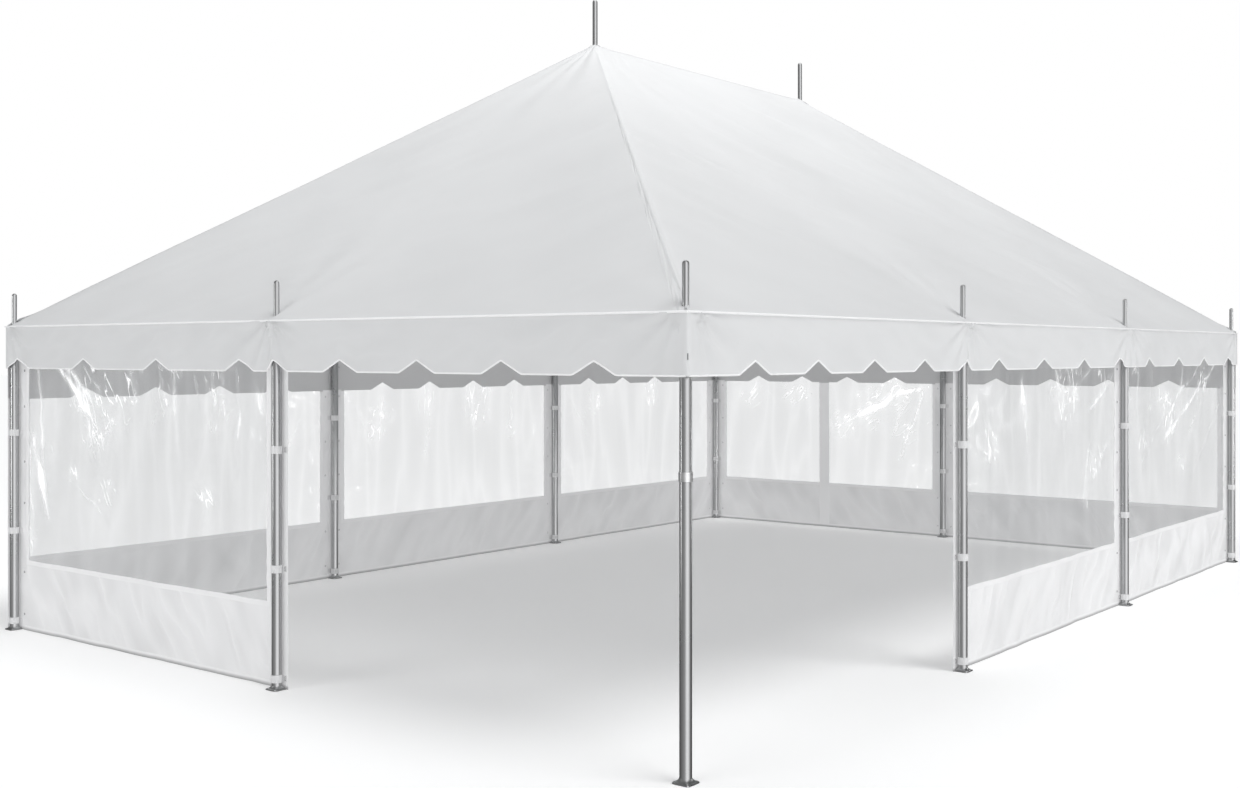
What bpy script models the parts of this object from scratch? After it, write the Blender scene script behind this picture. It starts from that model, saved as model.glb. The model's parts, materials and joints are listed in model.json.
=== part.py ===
"""A 6 m by 9 m marquee: hipped canopy, ten legs, clear-window walls and two open bays.

Metres, +Z up, ground at z = 0. The long sides run along X and the short ends along Y, and the
origin is on the ground in the middle of the floor. The front is the long side at -Y and the left
end is the short side at -X. The two bays beside the front left corner have no wall. Every wall
hangs on the +X or +Y side of its legs: inside the front and left legs, outside the others.
"""
import math

import bmesh
import bpy
from mathutils import Vector

# Driving dimensions
BAY = 3.0
LONG_BAYS = 3
SHORT_BAYS = 2
EAVE_HEIGHT = 2.2
PEAK_HEIGHT = 4.35
LEG_SPIGOT_HEIGHT = 0.24
PEAK_SPIGOT_HEIGHT = 0.35
VALANCE_DEPTH = 0.30
TOUCH_GAP = 0.0003

# Half of the long and short sides, between the corner legs' centre lines
HALF_LONG = BAY * LONG_BAYS / 2
HALF_SHORT = BAY * SHORT_BAYS / 2

# Legs
LEG_RADIUS = 0.030
LEG_SPIGOT_RADIUS = 0.017
LEG_SIDES = 16
LEG_HEAD_CHAMFER = 0.005
FOOT_SIDE = 0.100
FOOT_THICKNESS = 0.008
FOOT_CORNER_RADIUS = 0.018
FOOT_FLARE_RADIUS = 0.043
FOOT_FLARE_STEP = 0.002
FOOT_FLARE_TOP = 0.024
CLAMP_RADIUS = 0.034
CLAMP_HEIGHT = 0.046
CLAMP_CENTRES = (0.066, 0.72, 1.43)
LUG_HEIGHT = 0.040
LUG_NEAR = 0.029
LUG_FAR = 0.0338
LUG_REACH = 0.056

# Canopy and valance, thicker than the real coated cloth so that they are sound solids
OVERHANG = 0.046
CANOPY_THICKNESS = 0.005
VALANCE_THICKNESS = 0.004
NOTCH_HEIGHT = 0.070
NOTCH_WIDTH = 0.28
NOTCHES_A_BAY = 4
OPEN_BAY_PITCH = 0.62
# First notch past a bay's leg, and the pitch from there
FRONT_NOTCHES = (0.46, 0.765)
LEFT_NOTCHES = (0.30, 0.86)
PLAIN_NOTCHES = (0.375, 0.75)
# Part notch where the open bay's valance laps over the next one
JOINT_NOTCH_SHIFT = -0.02
JOINT_NOTCH_FLANKS = (0.12, 0.065)
SPIGOT_HOLE_CLEARANCE = 0.0006

# Tubes that carry the canopy
RAFTER_RADIUS = 0.024
RAIL_RADIUS = 0.021
RAIL_Z = 2.165
TUBE_SIDES = 16
CROWN_RADIUS = 0.034
CROWN_LENGTH = 0.14
CROWN_TOP_Z = PEAK_HEIGHT - 0.032
CROWN_CHAMFER = 0.004
PEAK_SPIGOT_RADIUS = 0.019

# Wall panels and windows
WALL_THICKNESS = 0.004
WALL_BOTTOM = 0.020
WALL_FLAP = 0.060
WINDOW_THICKNESS = 0.002
WINDOW_BOTTOM = 0.50
WINDOW_TOP = 2.00
WINDOW_MARGIN = 0.13
# The back and right walls have a deep border over the window, notched like the valance
BORDER_BOTTOM = 1.68
BORDER_NOTCHES = (0.60, 0.60)

# Worked out from the values above
ROOF_RUN = HALF_SHORT + OVERHANG
ROOF_SLOPE = (PEAK_HEIGHT - EAVE_HEIGHT) / ROOF_RUN
ROOF_COSINE = 1 / math.hypot(1, ROOF_SLOPE)
RIDGE_HALF = HALF_LONG - HALF_SHORT
WALL_OFFSET = CLAMP_RADIUS + TOUCH_GAP
WALL_TOP_BELOW_RAIL = RAIL_Z - RAIL_RADIUS - TOUCH_GAP
RAIL_OFFSET = LEG_RADIUS + TOUCH_GAP + RAIL_RADIUS
RAFTER_DROP = CANOPY_THICKNESS + (RAFTER_RADIUS + 2 * TOUCH_GAP) / ROOF_COSINE

# Colours: linear base colour, roughness, metallic, alpha
FINISHES = {
    "leg_tube": ((0.42, 0.42, 0.42), 0.38, 0.9, 1.0),
    "roof_tube": ((0.62, 0.62, 0.63), 0.35, 0.9, 1.0),
    "canopy_cloth": ((0.80, 0.80, 0.81), 0.50, 0.0, 1.0),
    "valance_cloth": ((0.78, 0.78, 0.79), 0.50, 0.0, 1.0),
    "wall_cloth": ((0.76, 0.76, 0.77), 0.45, 0.0, 1.0),
    "clear_film": ((0.92, 0.93, 0.94), 0.10, 0.0, 0.3),
}


def roof_height(x, y):
    """Height of the canopy's upper face over a plan position."""
    out = max(abs(y), abs(x) - RIDGE_HALF)
    return PEAK_HEIGHT - ROOF_SLOPE * out


def room_below_canopy(beyond):
    """Height that a piece may reach at a distance beyond the legs' line, just clear of the cloth."""
    drop = CANOPY_THICKNESS + TOUCH_GAP / ROOF_COSINE
    return roof_height(0.0, HALF_SHORT + beyond) - drop


def clear_scene():
    for obj in list(bpy.data.objects):
        bpy.data.objects.remove(obj, do_unlink=True)


def finish_material(name):
    """Return the material of that name, which is made on its first use."""
    material = bpy.data.materials.get(name)
    if material:
        return material
    colour, roughness, metallic, alpha = FINISHES[name]
    material = bpy.data.materials.new(name)
    material.use_nodes = True
    shader = material.node_tree.nodes["Principled BSDF"]
    shader.inputs["Base Color"].default_value = (*colour, 1.0)
    shader.inputs["Roughness"].default_value = roughness
    shader.inputs["Metallic"].default_value = metallic
    shader.inputs["Alpha"].default_value = alpha
    material.diffuse_color = (*colour, alpha)
    return material


def add_object(name, bm, finish=None, place=(0.0, 0.0, 0.0)):
    """Turn a bmesh into an object whose faces point outwards."""
    bmesh.ops.recalc_face_normals(bm, faces=bm.faces)
    mesh = bpy.data.meshes.new(name)
    bm.to_mesh(mesh)
    bm.free()
    obj = bpy.data.objects.new(name, mesh)
    obj.location = place
    bpy.context.collection.objects.link(obj)
    if finish:
        mesh.materials.append(finish_material(finish))
    return obj


def add_guide(name, bm, place=(0.0, 0.0, 0.0)):
    """Add a shape that only cuts or joins another one."""
    obj = add_object(name, bm, place=place)
    obj.hide_render = True
    obj.display_type = "WIRE"
    return obj


def add_boolean(obj, guide, operation):
    modifier = obj.modifiers.new(operation.lower(), "BOOLEAN")
    modifier.operation = operation
    modifier.object = guide
    modifier.solver = "EXACT"


def smooth_round_faces(obj):
    obj.data.shade_smooth()
    obj.data.set_sharp_from_angle(angle=math.radians(35))


def extrude_outline(bm, outline, across):
    """Add a closed slab: a plane outline of 3-D points, and the same moved by a vector."""
    near = [bm.verts.new(point) for point in outline]
    far = [bm.verts.new(Vector(point) + Vector(across)) for point in outline]
    bm.faces.new(near)
    bm.faces.new(list(reversed(far)))
    for index, vert in enumerate(near):
        after = (index + 1) % len(near)
        bm.faces.new((vert, far[index], far[after], near[after]))


def turn_profile(bm, profile, sides):
    """Turn an outline of (radius, z) points about Z; its two end points lie on the axis."""
    bottom = bm.verts.new((0.0, 0.0, profile[0][1]))
    top = bm.verts.new((0.0, 0.0, profile[-1][1]))
    rings = []
    for radius, z in profile[1:-1]:
        angles = [2 * math.pi * side / sides for side in range(sides)]
        rings.append([bm.verts.new((radius * math.cos(a), radius * math.sin(a), z)) for a in angles])
    for side in range(sides):
        after = (side + 1) % sides
        bm.faces.new((bottom, rings[0][after], rings[0][side]))
        bm.faces.new((top, rings[-1][side], rings[-1][after]))
        for lower, upper in zip(rings, rings[1:]):
            bm.faces.new((lower[side], lower[after], upper[after], upper[side]))


def round_top(radius, base_z, steps=3):
    """Return the profile points of a half-round top, from its rim to the axis."""
    angles = [math.pi / 2 * step / steps for step in range(steps)]
    points = [(radius * math.cos(a), base_z + radius * math.sin(a)) for a in angles]
    return points + [(0.0, base_z + radius)]


def rounded_square(side, radius, arc_steps=4):
    """Return the plan outline of a square with round corners, on the ground."""
    centre = side / 2 - radius
    points = []
    for corner, (sign_x, sign_y) in enumerate(((1, 1), (-1, 1), (-1, -1), (1, -1))):
        for step in range(arc_steps + 1):
            angle = math.pi / 2 * (corner + step / arc_steps)
            x = sign_x * centre + radius * math.cos(angle)
            y = sign_y * centre + radius * math.sin(angle)
            points.append((x, y, 0.0))
    return points


def leg_profile(clamp_centres):
    """Outline of a leg: flared foot, tube with clamp bands, head and round-topped spigot."""
    inside_plate = FOOT_THICKNESS / 2
    points = [
        (0.0, inside_plate),
        (FOOT_FLARE_RADIUS, inside_plate),
        (FOOT_FLARE_RADIUS, FOOT_THICKNESS + FOOT_FLARE_STEP),
        (LEG_RADIUS, FOOT_FLARE_TOP),
    ]
    for centre in clamp_centres:
        low = centre - CLAMP_HEIGHT / 2
        high = centre + CLAMP_HEIGHT / 2
        points += [(LEG_RADIUS, low), (CLAMP_RADIUS, low), (CLAMP_RADIUS, high), (LEG_RADIUS, high)]
    head_radius = LEG_RADIUS - LEG_HEAD_CHAMFER
    head_z = room_below_canopy(head_radius)
    points += [
        (LEG_RADIUS, head_z - LEG_HEAD_CHAMFER),
        (head_radius, head_z),
        (LEG_SPIGOT_RADIUS, head_z),
    ]
    top_z = EAVE_HEIGHT + LEG_SPIGOT_HEIGHT
    return points + round_top(LEG_SPIGOT_RADIUS, top_z - LEG_SPIGOT_RADIUS)


def lug_outline(axis, low, high):
    """Plan outline of a clamp's flat lug, which runs along a wall and holds it to the leg.

    axis is the way that the wall runs, and low and high are the lug's ends along it.
    """
    plan = [(low, LUG_NEAR), (high, LUG_NEAR), (high, LUG_FAR), (low, LUG_FAR)]
    return [(y, x) for x, y in plan] if axis == "y" else plan


def make_leg(name, place, lugs, clamp_centres):
    """One leg with its foot plate and clamps. Each lug is an axis and the two ends along it."""
    bm = bmesh.new()
    turn_profile(bm, leg_profile(clamp_centres), LEG_SIDES)
    leg = add_object(name, bm, "leg_tube", place)
    smooth_round_faces(leg)
    bm = bmesh.new()
    extrude_outline(bm, rounded_square(FOOT_SIDE, FOOT_CORNER_RADIUS), (0.0, 0.0, FOOT_THICKNESS))
    for centre in clamp_centres:
        for lug in lugs:
            outline = [(x, y, centre - LUG_HEIGHT / 2) for x, y in lug_outline(*lug)]
            extrude_outline(bm, outline, (0.0, 0.0, LUG_HEIGHT))
    guide = add_guide("foot_and_lugs_of_" + name, bm, place)
    guide.parent = leg
    guide.matrix_parent_inverse = leg.matrix_basis.inverted()
    add_boolean(leg, guide, "UNION")


def make_legs():
    x, y = HALF_LONG, HALF_SHORT
    along_x, along_y = ("x", -LUG_REACH, LUG_REACH), ("y", -LUG_REACH, LUG_REACH)
    to_left, to_right = ("x", -LUG_REACH, 0.0), ("x", 0.0, LUG_REACH)
    to_front, to_back = ("y", -LUG_REACH, 0.0), ("y", 0.0, LUG_REACH)
    make_leg("leg_front_left", (-x, -y, 0.0), [], CLAMP_CENTRES[-1:])
    make_leg("leg_front_right", (x, -y, 0.0), [to_left, to_back], CLAMP_CENTRES)
    make_leg("leg_back_left", (-x, y, 0.0), [to_right, to_front], CLAMP_CENTRES)
    make_leg("leg_back_right", (x, y, 0.0), [to_left, to_front], CLAMP_CENTRES)
    for row, side in (("front", -y), ("back", y)):
        make_leg(f"leg_{row}_1", (-x + BAY, side, 0.0), [along_x], CLAMP_CENTRES)
        make_leg(f"leg_{row}_2", (-x + 2 * BAY, side, 0.0), [along_x], CLAMP_CENTRES)
    make_leg("leg_left_middle", (-x, 0.0, 0.0), [along_y], CLAMP_CENTRES)
    make_leg("leg_right_middle", (x, 0.0, 0.0), [along_y], CLAMP_CENTRES)


def leg_places():
    """Plan positions of all ten legs."""
    places = [(-HALF_LONG + BAY * bay, side) for bay in range(LONG_BAYS + 1)
              for side in (-HALF_SHORT, HALF_SHORT)]
    return places + [(-HALF_LONG, 0.0), (HALF_LONG, 0.0)]


def sheared_tube(bm, start, end, radius, sides):
    """Add a round tube whose two ends are upright planes square to its direction in plan."""
    start, end = Vector(start), Vector(end)
    run = Vector((end.x - start.x, end.y - start.y, 0.0))
    rise = (end - start).length / run.length
    lateral = Vector((-run.y, run.x, 0.0)).normalized()
    outline = []
    for side in range(sides):
        angle = 2 * math.pi * side / sides
        up = Vector((0.0, 0.0, radius * rise * math.sin(angle)))
        outline.append(start + lateral * radius * math.cos(angle) + up)
    extrude_outline(bm, outline, end - start)


def add_tube(name, start, end, radius):
    bm = bmesh.new()
    sheared_tube(bm, start, end, radius, TUBE_SIDES)
    smooth_round_faces(add_object(name, bm, "roof_tube"))


def make_rails():
    """Rails inside the leg heads, which the walls hang from and which tie the legs."""
    y = HALF_SHORT - RAIL_OFFSET
    x = HALF_LONG - RAIL_OFFSET
    y_end = y - RAIL_RADIUS - TOUCH_GAP
    add_tube("eave_rail_front", (-HALF_LONG, -y, RAIL_Z), (HALF_LONG, -y, RAIL_Z), RAIL_RADIUS)
    add_tube("eave_rail_back", (-HALF_LONG, y, RAIL_Z), (HALF_LONG, y, RAIL_Z), RAIL_RADIUS)
    add_tube("eave_rail_left", (-x, -y_end, RAIL_Z), (-x, y_end, RAIL_Z), RAIL_RADIUS)
    add_tube("eave_rail_right", (x, -y_end, RAIL_Z), (x, y_end, RAIL_Z), RAIL_RADIUS)


def make_rafters():
    """Four hip rafters from the corner legs to the crowns, and the ridge tube between them."""
    foot = (LEG_RADIUS + TOUCH_GAP) / math.sqrt(2)
    head = (CROWN_RADIUS + TOUCH_GAP) / math.sqrt(2)
    for side, sign_x in (("left", -1), ("right", 1)):
        for row, sign_y in (("front", -1), ("back", 1)):
            low = [sign_x * (HALF_LONG - foot), sign_y * (HALF_SHORT - foot)]
            high = [sign_x * (RIDGE_HALF + head), sign_y * head]
            low.append(roof_height(*low) - RAFTER_DROP)
            high.append(roof_height(*high) - RAFTER_DROP)
            add_tube(f"hip_rafter_{row}_{side}", low, high, RAFTER_RADIUS)
    ridge_end = RIDGE_HALF - CROWN_RADIUS - TOUCH_GAP
    ridge_z = PEAK_HEIGHT - RAFTER_DROP
    add_tube("ridge_tube", (-ridge_end, 0.0, ridge_z), (ridge_end, 0.0, ridge_z), RAFTER_RADIUS)


def make_crowns():
    """The hubs under the two peaks, each with the spigot that stands through the canopy."""
    top_z = PEAK_HEIGHT + PEAK_SPIGOT_HEIGHT
    profile = [
        (0.0, CROWN_TOP_Z - CROWN_LENGTH),
        (CROWN_RADIUS - CROWN_CHAMFER, CROWN_TOP_Z - CROWN_LENGTH),
        (CROWN_RADIUS, CROWN_TOP_Z - CROWN_LENGTH + CROWN_CHAMFER),
        (CROWN_RADIUS, CROWN_TOP_Z),
        (PEAK_SPIGOT_RADIUS, CROWN_TOP_Z),
    ]
    profile += round_top(PEAK_SPIGOT_RADIUS, top_z - PEAK_SPIGOT_RADIUS)
    for side, x in (("left", -RIDGE_HALF), ("right", RIDGE_HALF)):
        bm = bmesh.new()
        turn_profile(bm, profile, LEG_SIDES)
        smooth_round_faces(add_object(f"crown_{side}", bm, "roof_tube", (x, 0.0, 0.0)))


def make_spigot_cutter():
    """One cutter for the holes where the twelve spigots pass through the canopy."""
    bm = bmesh.new()
    holes = [(x, y, LEG_SPIGOT_RADIUS) for x, y in leg_places()]
    holes += [(-RIDGE_HALF, 0.0, PEAK_SPIGOT_RADIUS), (RIDGE_HALF, 0.0, PEAK_SPIGOT_RADIUS)]
    for x, y, spigot_radius in holes:
        radius = spigot_radius + SPIGOT_HOLE_CLEARANCE
        low = roof_height(x, y) - 0.1
        angles = [2 * math.pi * (side + 0.5) / LEG_SIDES for side in range(LEG_SIDES)]
        outline = [(x + radius * math.cos(a), y + radius * math.sin(a), low) for a in angles]
        extrude_outline(bm, outline, (0.0, 0.0, 0.2))
    return add_guide("spigot_holes", bm)


def add_canopy_panel(name, plan, cutter):
    """One slope of the canopy, from the plan outline of its upper face."""
    bm = bmesh.new()
    top = [(x, y, roof_height(x, y)) for x, y in plan]
    extrude_outline(bm, top, (0.0, 0.0, -CANOPY_THICKNESS))
    panel = add_object(name, bm, "canopy_cloth")
    add_boolean(panel, cutter, "DIFFERENCE")


def make_canopy():
    """Two long slopes and two end slopes that meet in the hips and the ridge."""
    cutter = make_spigot_cutter()
    long_eave = HALF_LONG + OVERHANG
    short_eave = HALF_SHORT + OVERHANG
    seam = TOUCH_GAP / 2
    hip = TOUCH_GAP
    for row, sign in (("front", -1), ("back", 1)):
        plan = [
            (-long_eave + hip, sign * short_eave),
            (long_eave - hip, sign * short_eave),
            (RIDGE_HALF, sign * seam),
            (-RIDGE_HALF, sign * seam),
        ]
        add_canopy_panel(f"canopy_{row}", plan, cutter)
    for side, sign in (("left", -1), ("right", 1)):
        plan = [
            (sign * long_eave, -short_eave + hip),
            (sign * long_eave, short_eave - hip),
            (sign * (RIDGE_HALF + hip), 0.0),
        ]
        add_canopy_panel(f"canopy_{side}", plan, cutter)


def whole_notches(centres):
    """Notches as (centre, run of the low flank, run of the high flank)."""
    return [(centre, NOTCH_WIDTH / 2, NOTCH_WIDTH / 2) for centre in centres]


def walled_bay_notches(low_leg, bays, spacing):
    first, pitch = spacing
    starts = [low_leg + BAY * bay + first for bay in range(bays)]
    return whole_notches(start + pitch * index for start in starts for index in range(NOTCHES_A_BAY))


def open_bay_notches(joint):
    """Notches beside an open bay, counted back from its joint, and the part notch there."""
    centres = [joint - OPEN_BAY_PITCH * (index + 1) for index in range(NOTCHES_A_BAY)]
    return whole_notches(centres) + [(joint + JOINT_NOTCH_SHIFT, *JOINT_NOTCH_FLANKS)]


def valance_outline(low, high, notches):
    """Outline along the side and up: a straight top and a lower edge with pointed notches."""
    bottom = EAVE_HEIGHT - VALANCE_DEPTH
    top = EAVE_HEIGHT - CANOPY_THICKNESS - TOUCH_GAP
    points = [(low, top), (low, bottom)]
    for centre, low_flank, high_flank in sorted(notches):
        points.append((centre - low_flank, bottom))
        points.append((centre, bottom + NOTCH_HEIGHT))
        points.append((centre + high_flank, bottom))
    return points + [(high, bottom), (high, top)]


def make_valances():
    """A hanging strip on each side, sewn under the canopy's edge in front of the legs."""
    long_end = HALF_LONG + OVERHANG
    short_end = HALF_SHORT + OVERHANG - VALANCE_THICKNESS - TOUCH_GAP
    joint = -HALF_LONG + BAY
    front = open_bay_notches(joint) + walled_bay_notches(joint, LONG_BAYS - 1, FRONT_NOTCHES)
    back = walled_bay_notches(-HALF_LONG, LONG_BAYS, PLAIN_NOTCHES)
    left = open_bay_notches(0.0) + walled_bay_notches(0.0, 1, LEFT_NOTCHES)
    right = walled_bay_notches(-HALF_SHORT, SHORT_BAYS, PLAIN_NOTCHES)
    for row, sign, notches in (("front", -1, front), ("back", 1, back)):
        y = sign * (HALF_SHORT + OVERHANG)
        outline = [(along, y, z) for along, z in valance_outline(-long_end, long_end, notches)]
        bm = bmesh.new()
        extrude_outline(bm, outline, (0.0, -sign * VALANCE_THICKNESS, 0.0))
        add_object(f"valance_{row}", bm, "valance_cloth")
    for side, sign, notches in (("left", -1, left), ("right", 1, right)):
        x = sign * (HALF_LONG + OVERHANG)
        outline = [(x, along, z) for along, z in valance_outline(-short_end, short_end, notches)]
        bm = bmesh.new()
        extrude_outline(bm, outline, (-sign * VALANCE_THICKNESS, 0.0, 0.0))
        add_object(f"valance_{side}", bm, "valance_cloth")


def window_outline(ends, bottom, top, notched):
    """Outline of a window from its lower low corner round to its upper low corner.

    notched gives its upper edge the notches of the border above it.
    """
    points = [(ends[0], bottom), (ends[1], bottom), (ends[1], top)]
    if notched:
        first, pitch = BORDER_NOTCHES
        half = NOTCH_WIDTH / 2
        for index in reversed(range(NOTCHES_A_BAY)):
            centre = sum(ends) / 2 - BAY / 2 + first + pitch * index
            points += [(centre + half, top), (centre, top + NOTCH_HEIGHT), (centre - half, top)]
    return points + [(ends[0], top)]


def framed_slab(bm, outer, hole, across, place_point):
    """Add a slab with four outer corners round a hole.

    The hole's first three points lie by the first three corners and its last by the fourth. The
    points between those make its upper edge.
    """
    near_out, near_in, far_out, far_in = [
        [bm.verts.new(place_point(a, depth, z)) for a, z in outline]
        for depth in (0.0, across) for outline in (outer, hole)]
    last = len(hole) - 1
    spans = ((0, 0, 1), (1, 1, 2), (2, 2, last), (3, last, last + 1))
    for index, low, high in spans:
        after = (index + 1) % 4
        steps = [step % len(hole) for step in range(low, high + 1)]
        for out, inner in ((near_out, near_in), (far_out, far_in)):
            bm.faces.new([out[index], out[after], *[inner[step] for step in reversed(steps)]])
        bm.faces.new((near_out[index], near_out[after], far_out[after], far_out[index]))
        for step, next_step in zip(steps, steps[1:]):
            bm.faces.new((near_in[step], near_in[next_step], far_in[next_step], far_in[step]))


def make_wall_bay(side, label, ends, window_ends):
    """One wall panel with a clear window. side is the side of the marquee that it closes.

    ends and window_ends are positions along the side.
    """
    leg_lines = {"front": -HALF_SHORT, "back": HALF_SHORT, "left": -HALF_LONG, "right": HALF_LONG}
    near_face = leg_lines[side] + WALL_OFFSET
    inside = side in ("front", "left")
    top = WALL_TOP_BELOW_RAIL if inside else room_below_canopy(WALL_OFFSET + WALL_THICKNESS)

    def place_point(along, depth, z):
        across = near_face + depth
        return (along, across, z) if side in ("front", "back") else (across, along, z)

    bm = bmesh.new()
    window_top = WINDOW_TOP if inside else BORDER_BOTTOM
    outer = ((ends[0], WALL_BOTTOM), (ends[1], WALL_BOTTOM), (ends[1], top), (ends[0], top))
    hole = window_outline(window_ends, WINDOW_BOTTOM, window_top, not inside)
    framed_slab(bm, outer, hole, WALL_THICKNESS, place_point)
    add_object("wall_" + label, bm, "wall_cloth")

    bm = bmesh.new()
    film_ends = (window_ends[0] + TOUCH_GAP, window_ends[1] - TOUCH_GAP)
    film = window_outline(film_ends, WINDOW_BOTTOM + TOUCH_GAP, window_top - TOUCH_GAP, not inside)
    depth = (WALL_THICKNESS - WINDOW_THICKNESS) / 2
    outline = [place_point(along, depth, z) for along, z in film]
    across = Vector(place_point(0.0, WINDOW_THICKNESS, 0.0)) - Vector(place_point(0.0, 0.0, 0.0))
    extrude_outline(bm, outline, across)
    add_object("window_" + label, bm, "clear_film")


def make_walls():
    """Eight wall panels. The front and left ones stop just short of the corner legs' outer lugs."""
    seam = TOUCH_GAP / 2
    lug_stop = LUG_NEAR - TOUCH_GAP
    back_wall_end = HALF_LONG + WALL_OFFSET + WALL_THICKNESS
    right_wall_end = HALF_SHORT + WALL_OFFSET - TOUCH_GAP
    for bay in range(LONG_BAYS):
        low = -HALF_LONG + BAY * bay
        high = low + BAY
        window = (low + WINDOW_MARGIN, high - WINDOW_MARGIN)
        first, last = bay == 0, bay == LONG_BAYS - 1
        back_start = -HALF_LONG - LEG_RADIUS if first else low + seam
        back_end = back_wall_end if last else high - seam
        make_wall_bay("back", f"back_{bay + 1}", (back_start, back_end), window)
        if not first:
            front_start = low - WALL_FLAP if bay == 1 else low + seam
            front_end = HALF_LONG + lug_stop if last else high - seam
            make_wall_bay("front", f"front_{bay}", (front_start, front_end), window)
    near_window = (-BAY + WINDOW_MARGIN, -WINDOW_MARGIN)
    far_window = (WINDOW_MARGIN, BAY - WINDOW_MARGIN)
    make_wall_bay("left", "left", (-WALL_FLAP, HALF_SHORT + lug_stop), far_window)
    make_wall_bay("right", "right_1", (-HALF_SHORT - LEG_RADIUS, -seam), near_window)
    make_wall_bay("right", "right_2", (seam, right_wall_end), far_window)


clear_scene()
make_legs()
make_rails()
make_rafters()
make_crowns()
make_canopy()
make_valances()
make_walls()
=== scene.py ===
# %% [markdown]
# # A marquee with clear walls
#
# The marquee stands 6 m wide and 9 m long on ten galvanised legs. Its measured solids are already
# packed, and this lesson gives them their looks: taut coated cloth, welded hems, creased clear
# film, and metal that has been put up and taken down many times. Every size below is in metres.

import json
import math

import bmesh
import bpy
import numpy as np
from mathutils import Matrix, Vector

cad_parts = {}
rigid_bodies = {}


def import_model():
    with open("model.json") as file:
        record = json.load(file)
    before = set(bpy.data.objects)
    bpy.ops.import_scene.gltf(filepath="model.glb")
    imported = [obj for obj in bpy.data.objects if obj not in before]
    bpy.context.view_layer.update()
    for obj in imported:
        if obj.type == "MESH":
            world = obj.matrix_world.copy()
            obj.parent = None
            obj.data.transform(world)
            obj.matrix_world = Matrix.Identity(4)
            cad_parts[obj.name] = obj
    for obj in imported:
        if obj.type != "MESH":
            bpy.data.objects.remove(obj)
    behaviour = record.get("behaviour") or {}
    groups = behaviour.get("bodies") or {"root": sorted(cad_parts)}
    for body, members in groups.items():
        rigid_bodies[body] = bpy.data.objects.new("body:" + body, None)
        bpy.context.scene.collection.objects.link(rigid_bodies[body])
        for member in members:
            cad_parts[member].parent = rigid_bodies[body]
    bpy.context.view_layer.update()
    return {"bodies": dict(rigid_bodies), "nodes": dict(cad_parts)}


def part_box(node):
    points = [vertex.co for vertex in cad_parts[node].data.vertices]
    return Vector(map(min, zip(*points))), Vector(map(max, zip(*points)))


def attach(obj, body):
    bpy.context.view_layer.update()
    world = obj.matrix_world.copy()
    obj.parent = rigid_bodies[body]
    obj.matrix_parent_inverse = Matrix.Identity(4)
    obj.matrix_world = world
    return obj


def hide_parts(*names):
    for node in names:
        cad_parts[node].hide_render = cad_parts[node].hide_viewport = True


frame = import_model()
BODY = next(iter(frame["bodies"]))
print("Nodes in the frame:", len(frame["nodes"]))

# %% [markdown]
# ## Sizes
#
# The legs, eaves and peaks are read from the frame, so that a piece made here always sits where
# the solids say. The legs stand on a rectangle, and the open bays are the two beside the front
# left corner.

# %% Read the main sizes from the frame
corner_low, corner_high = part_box("leg_front_left")
HALF_LONG = -(corner_low.x + corner_high.x) / 2
HALF_SHORT = -(corner_low.y + corner_high.y) / 2
BAY = 2 * HALF_LONG / 3
SPIGOT_TOP = corner_high.z

canopy_low, canopy_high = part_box("canopy_front")
PACKED_CANOPY = 0.005
EDGE_X = canopy_high.x
EDGE_Y = -canopy_low.y
EAVE_Z = canopy_low.z + PACKED_CANOPY
PEAK_Z = canopy_high.z
PEAK_X = HALF_LONG - HALF_SHORT
SLOPE = (PEAK_Z - EAVE_Z) / EDGE_Y
VALANCE_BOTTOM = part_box("valance_front")[0].z
print(f"Legs at {HALF_LONG:.2f} by {HALF_SHORT:.2f}, eaves {EAVE_Z:.2f}, peaks {PEAK_Z:.2f}")

# %% The ten leg places
LEG_PLACES = {
    "front_left": (-HALF_LONG, -HALF_SHORT),
    "front_1": (-HALF_LONG + BAY, -HALF_SHORT),
    "front_2": (HALF_LONG - BAY, -HALF_SHORT),
    "front_right": (HALF_LONG, -HALF_SHORT),
    "right_middle": (HALF_LONG, 0.0),
    "back_right": (HALF_LONG, HALF_SHORT),
    "back_2": (HALF_LONG - BAY, HALF_SHORT),
    "back_1": (-HALF_LONG + BAY, HALF_SHORT),
    "back_left": (-HALF_LONG, HALF_SHORT),
    "left_middle": (-HALF_LONG, 0.0),
}

# %% [markdown]
# ## Camera
#
# The picture was taken at head height from outside the open corner, and looks level along the
# diagonal. A level camera keeps the legs upright, and a small shift brings the tall peaks into
# the frame instead of a tilt.

# %% Place the camera
CAMERA_PLACE = (-9.902, -6.873, 2.004)
CAMERA_TURN = -51.72
CAMERA_LENS = 41.35
CAMERA_SHIFT = -0.0326

camera_data = bpy.data.cameras.new("photo_camera")
camera_data.sensor_width = 36.0
camera_data.lens = CAMERA_LENS
camera_data.shift_y = CAMERA_SHIFT
camera_data.clip_end = 500.0
camera = bpy.data.objects.new("photo_camera", camera_data)
camera.location = CAMERA_PLACE
camera.rotation_euler = (math.radians(90), 0.0, math.radians(CAMERA_TURN))
bpy.context.scene.collection.objects.link(camera)
bpy.context.scene.camera = camera

# %% [markdown]
# ## Helpers for node trees
#
# Materials and Geometry Nodes are both graphs. Short helpers keep them readable: they add a node
# and feed its inputs, and name the sums, scales and mixes that come up again and again.

# %% Node helpers
def feed(tree, node, inputs):
    """Set inputs by name, or link them where the value is a socket. i0 is the first input."""
    for name, value in inputs.items():
        numbered = name[0] == "i" and name[1:].isdigit()
        socket = node.inputs[int(name[1:]) if numbered else name]
        if isinstance(value, bpy.types.NodeSocket):
            tree.links.new(value, socket)
        else:
            socket.default_value = value


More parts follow.
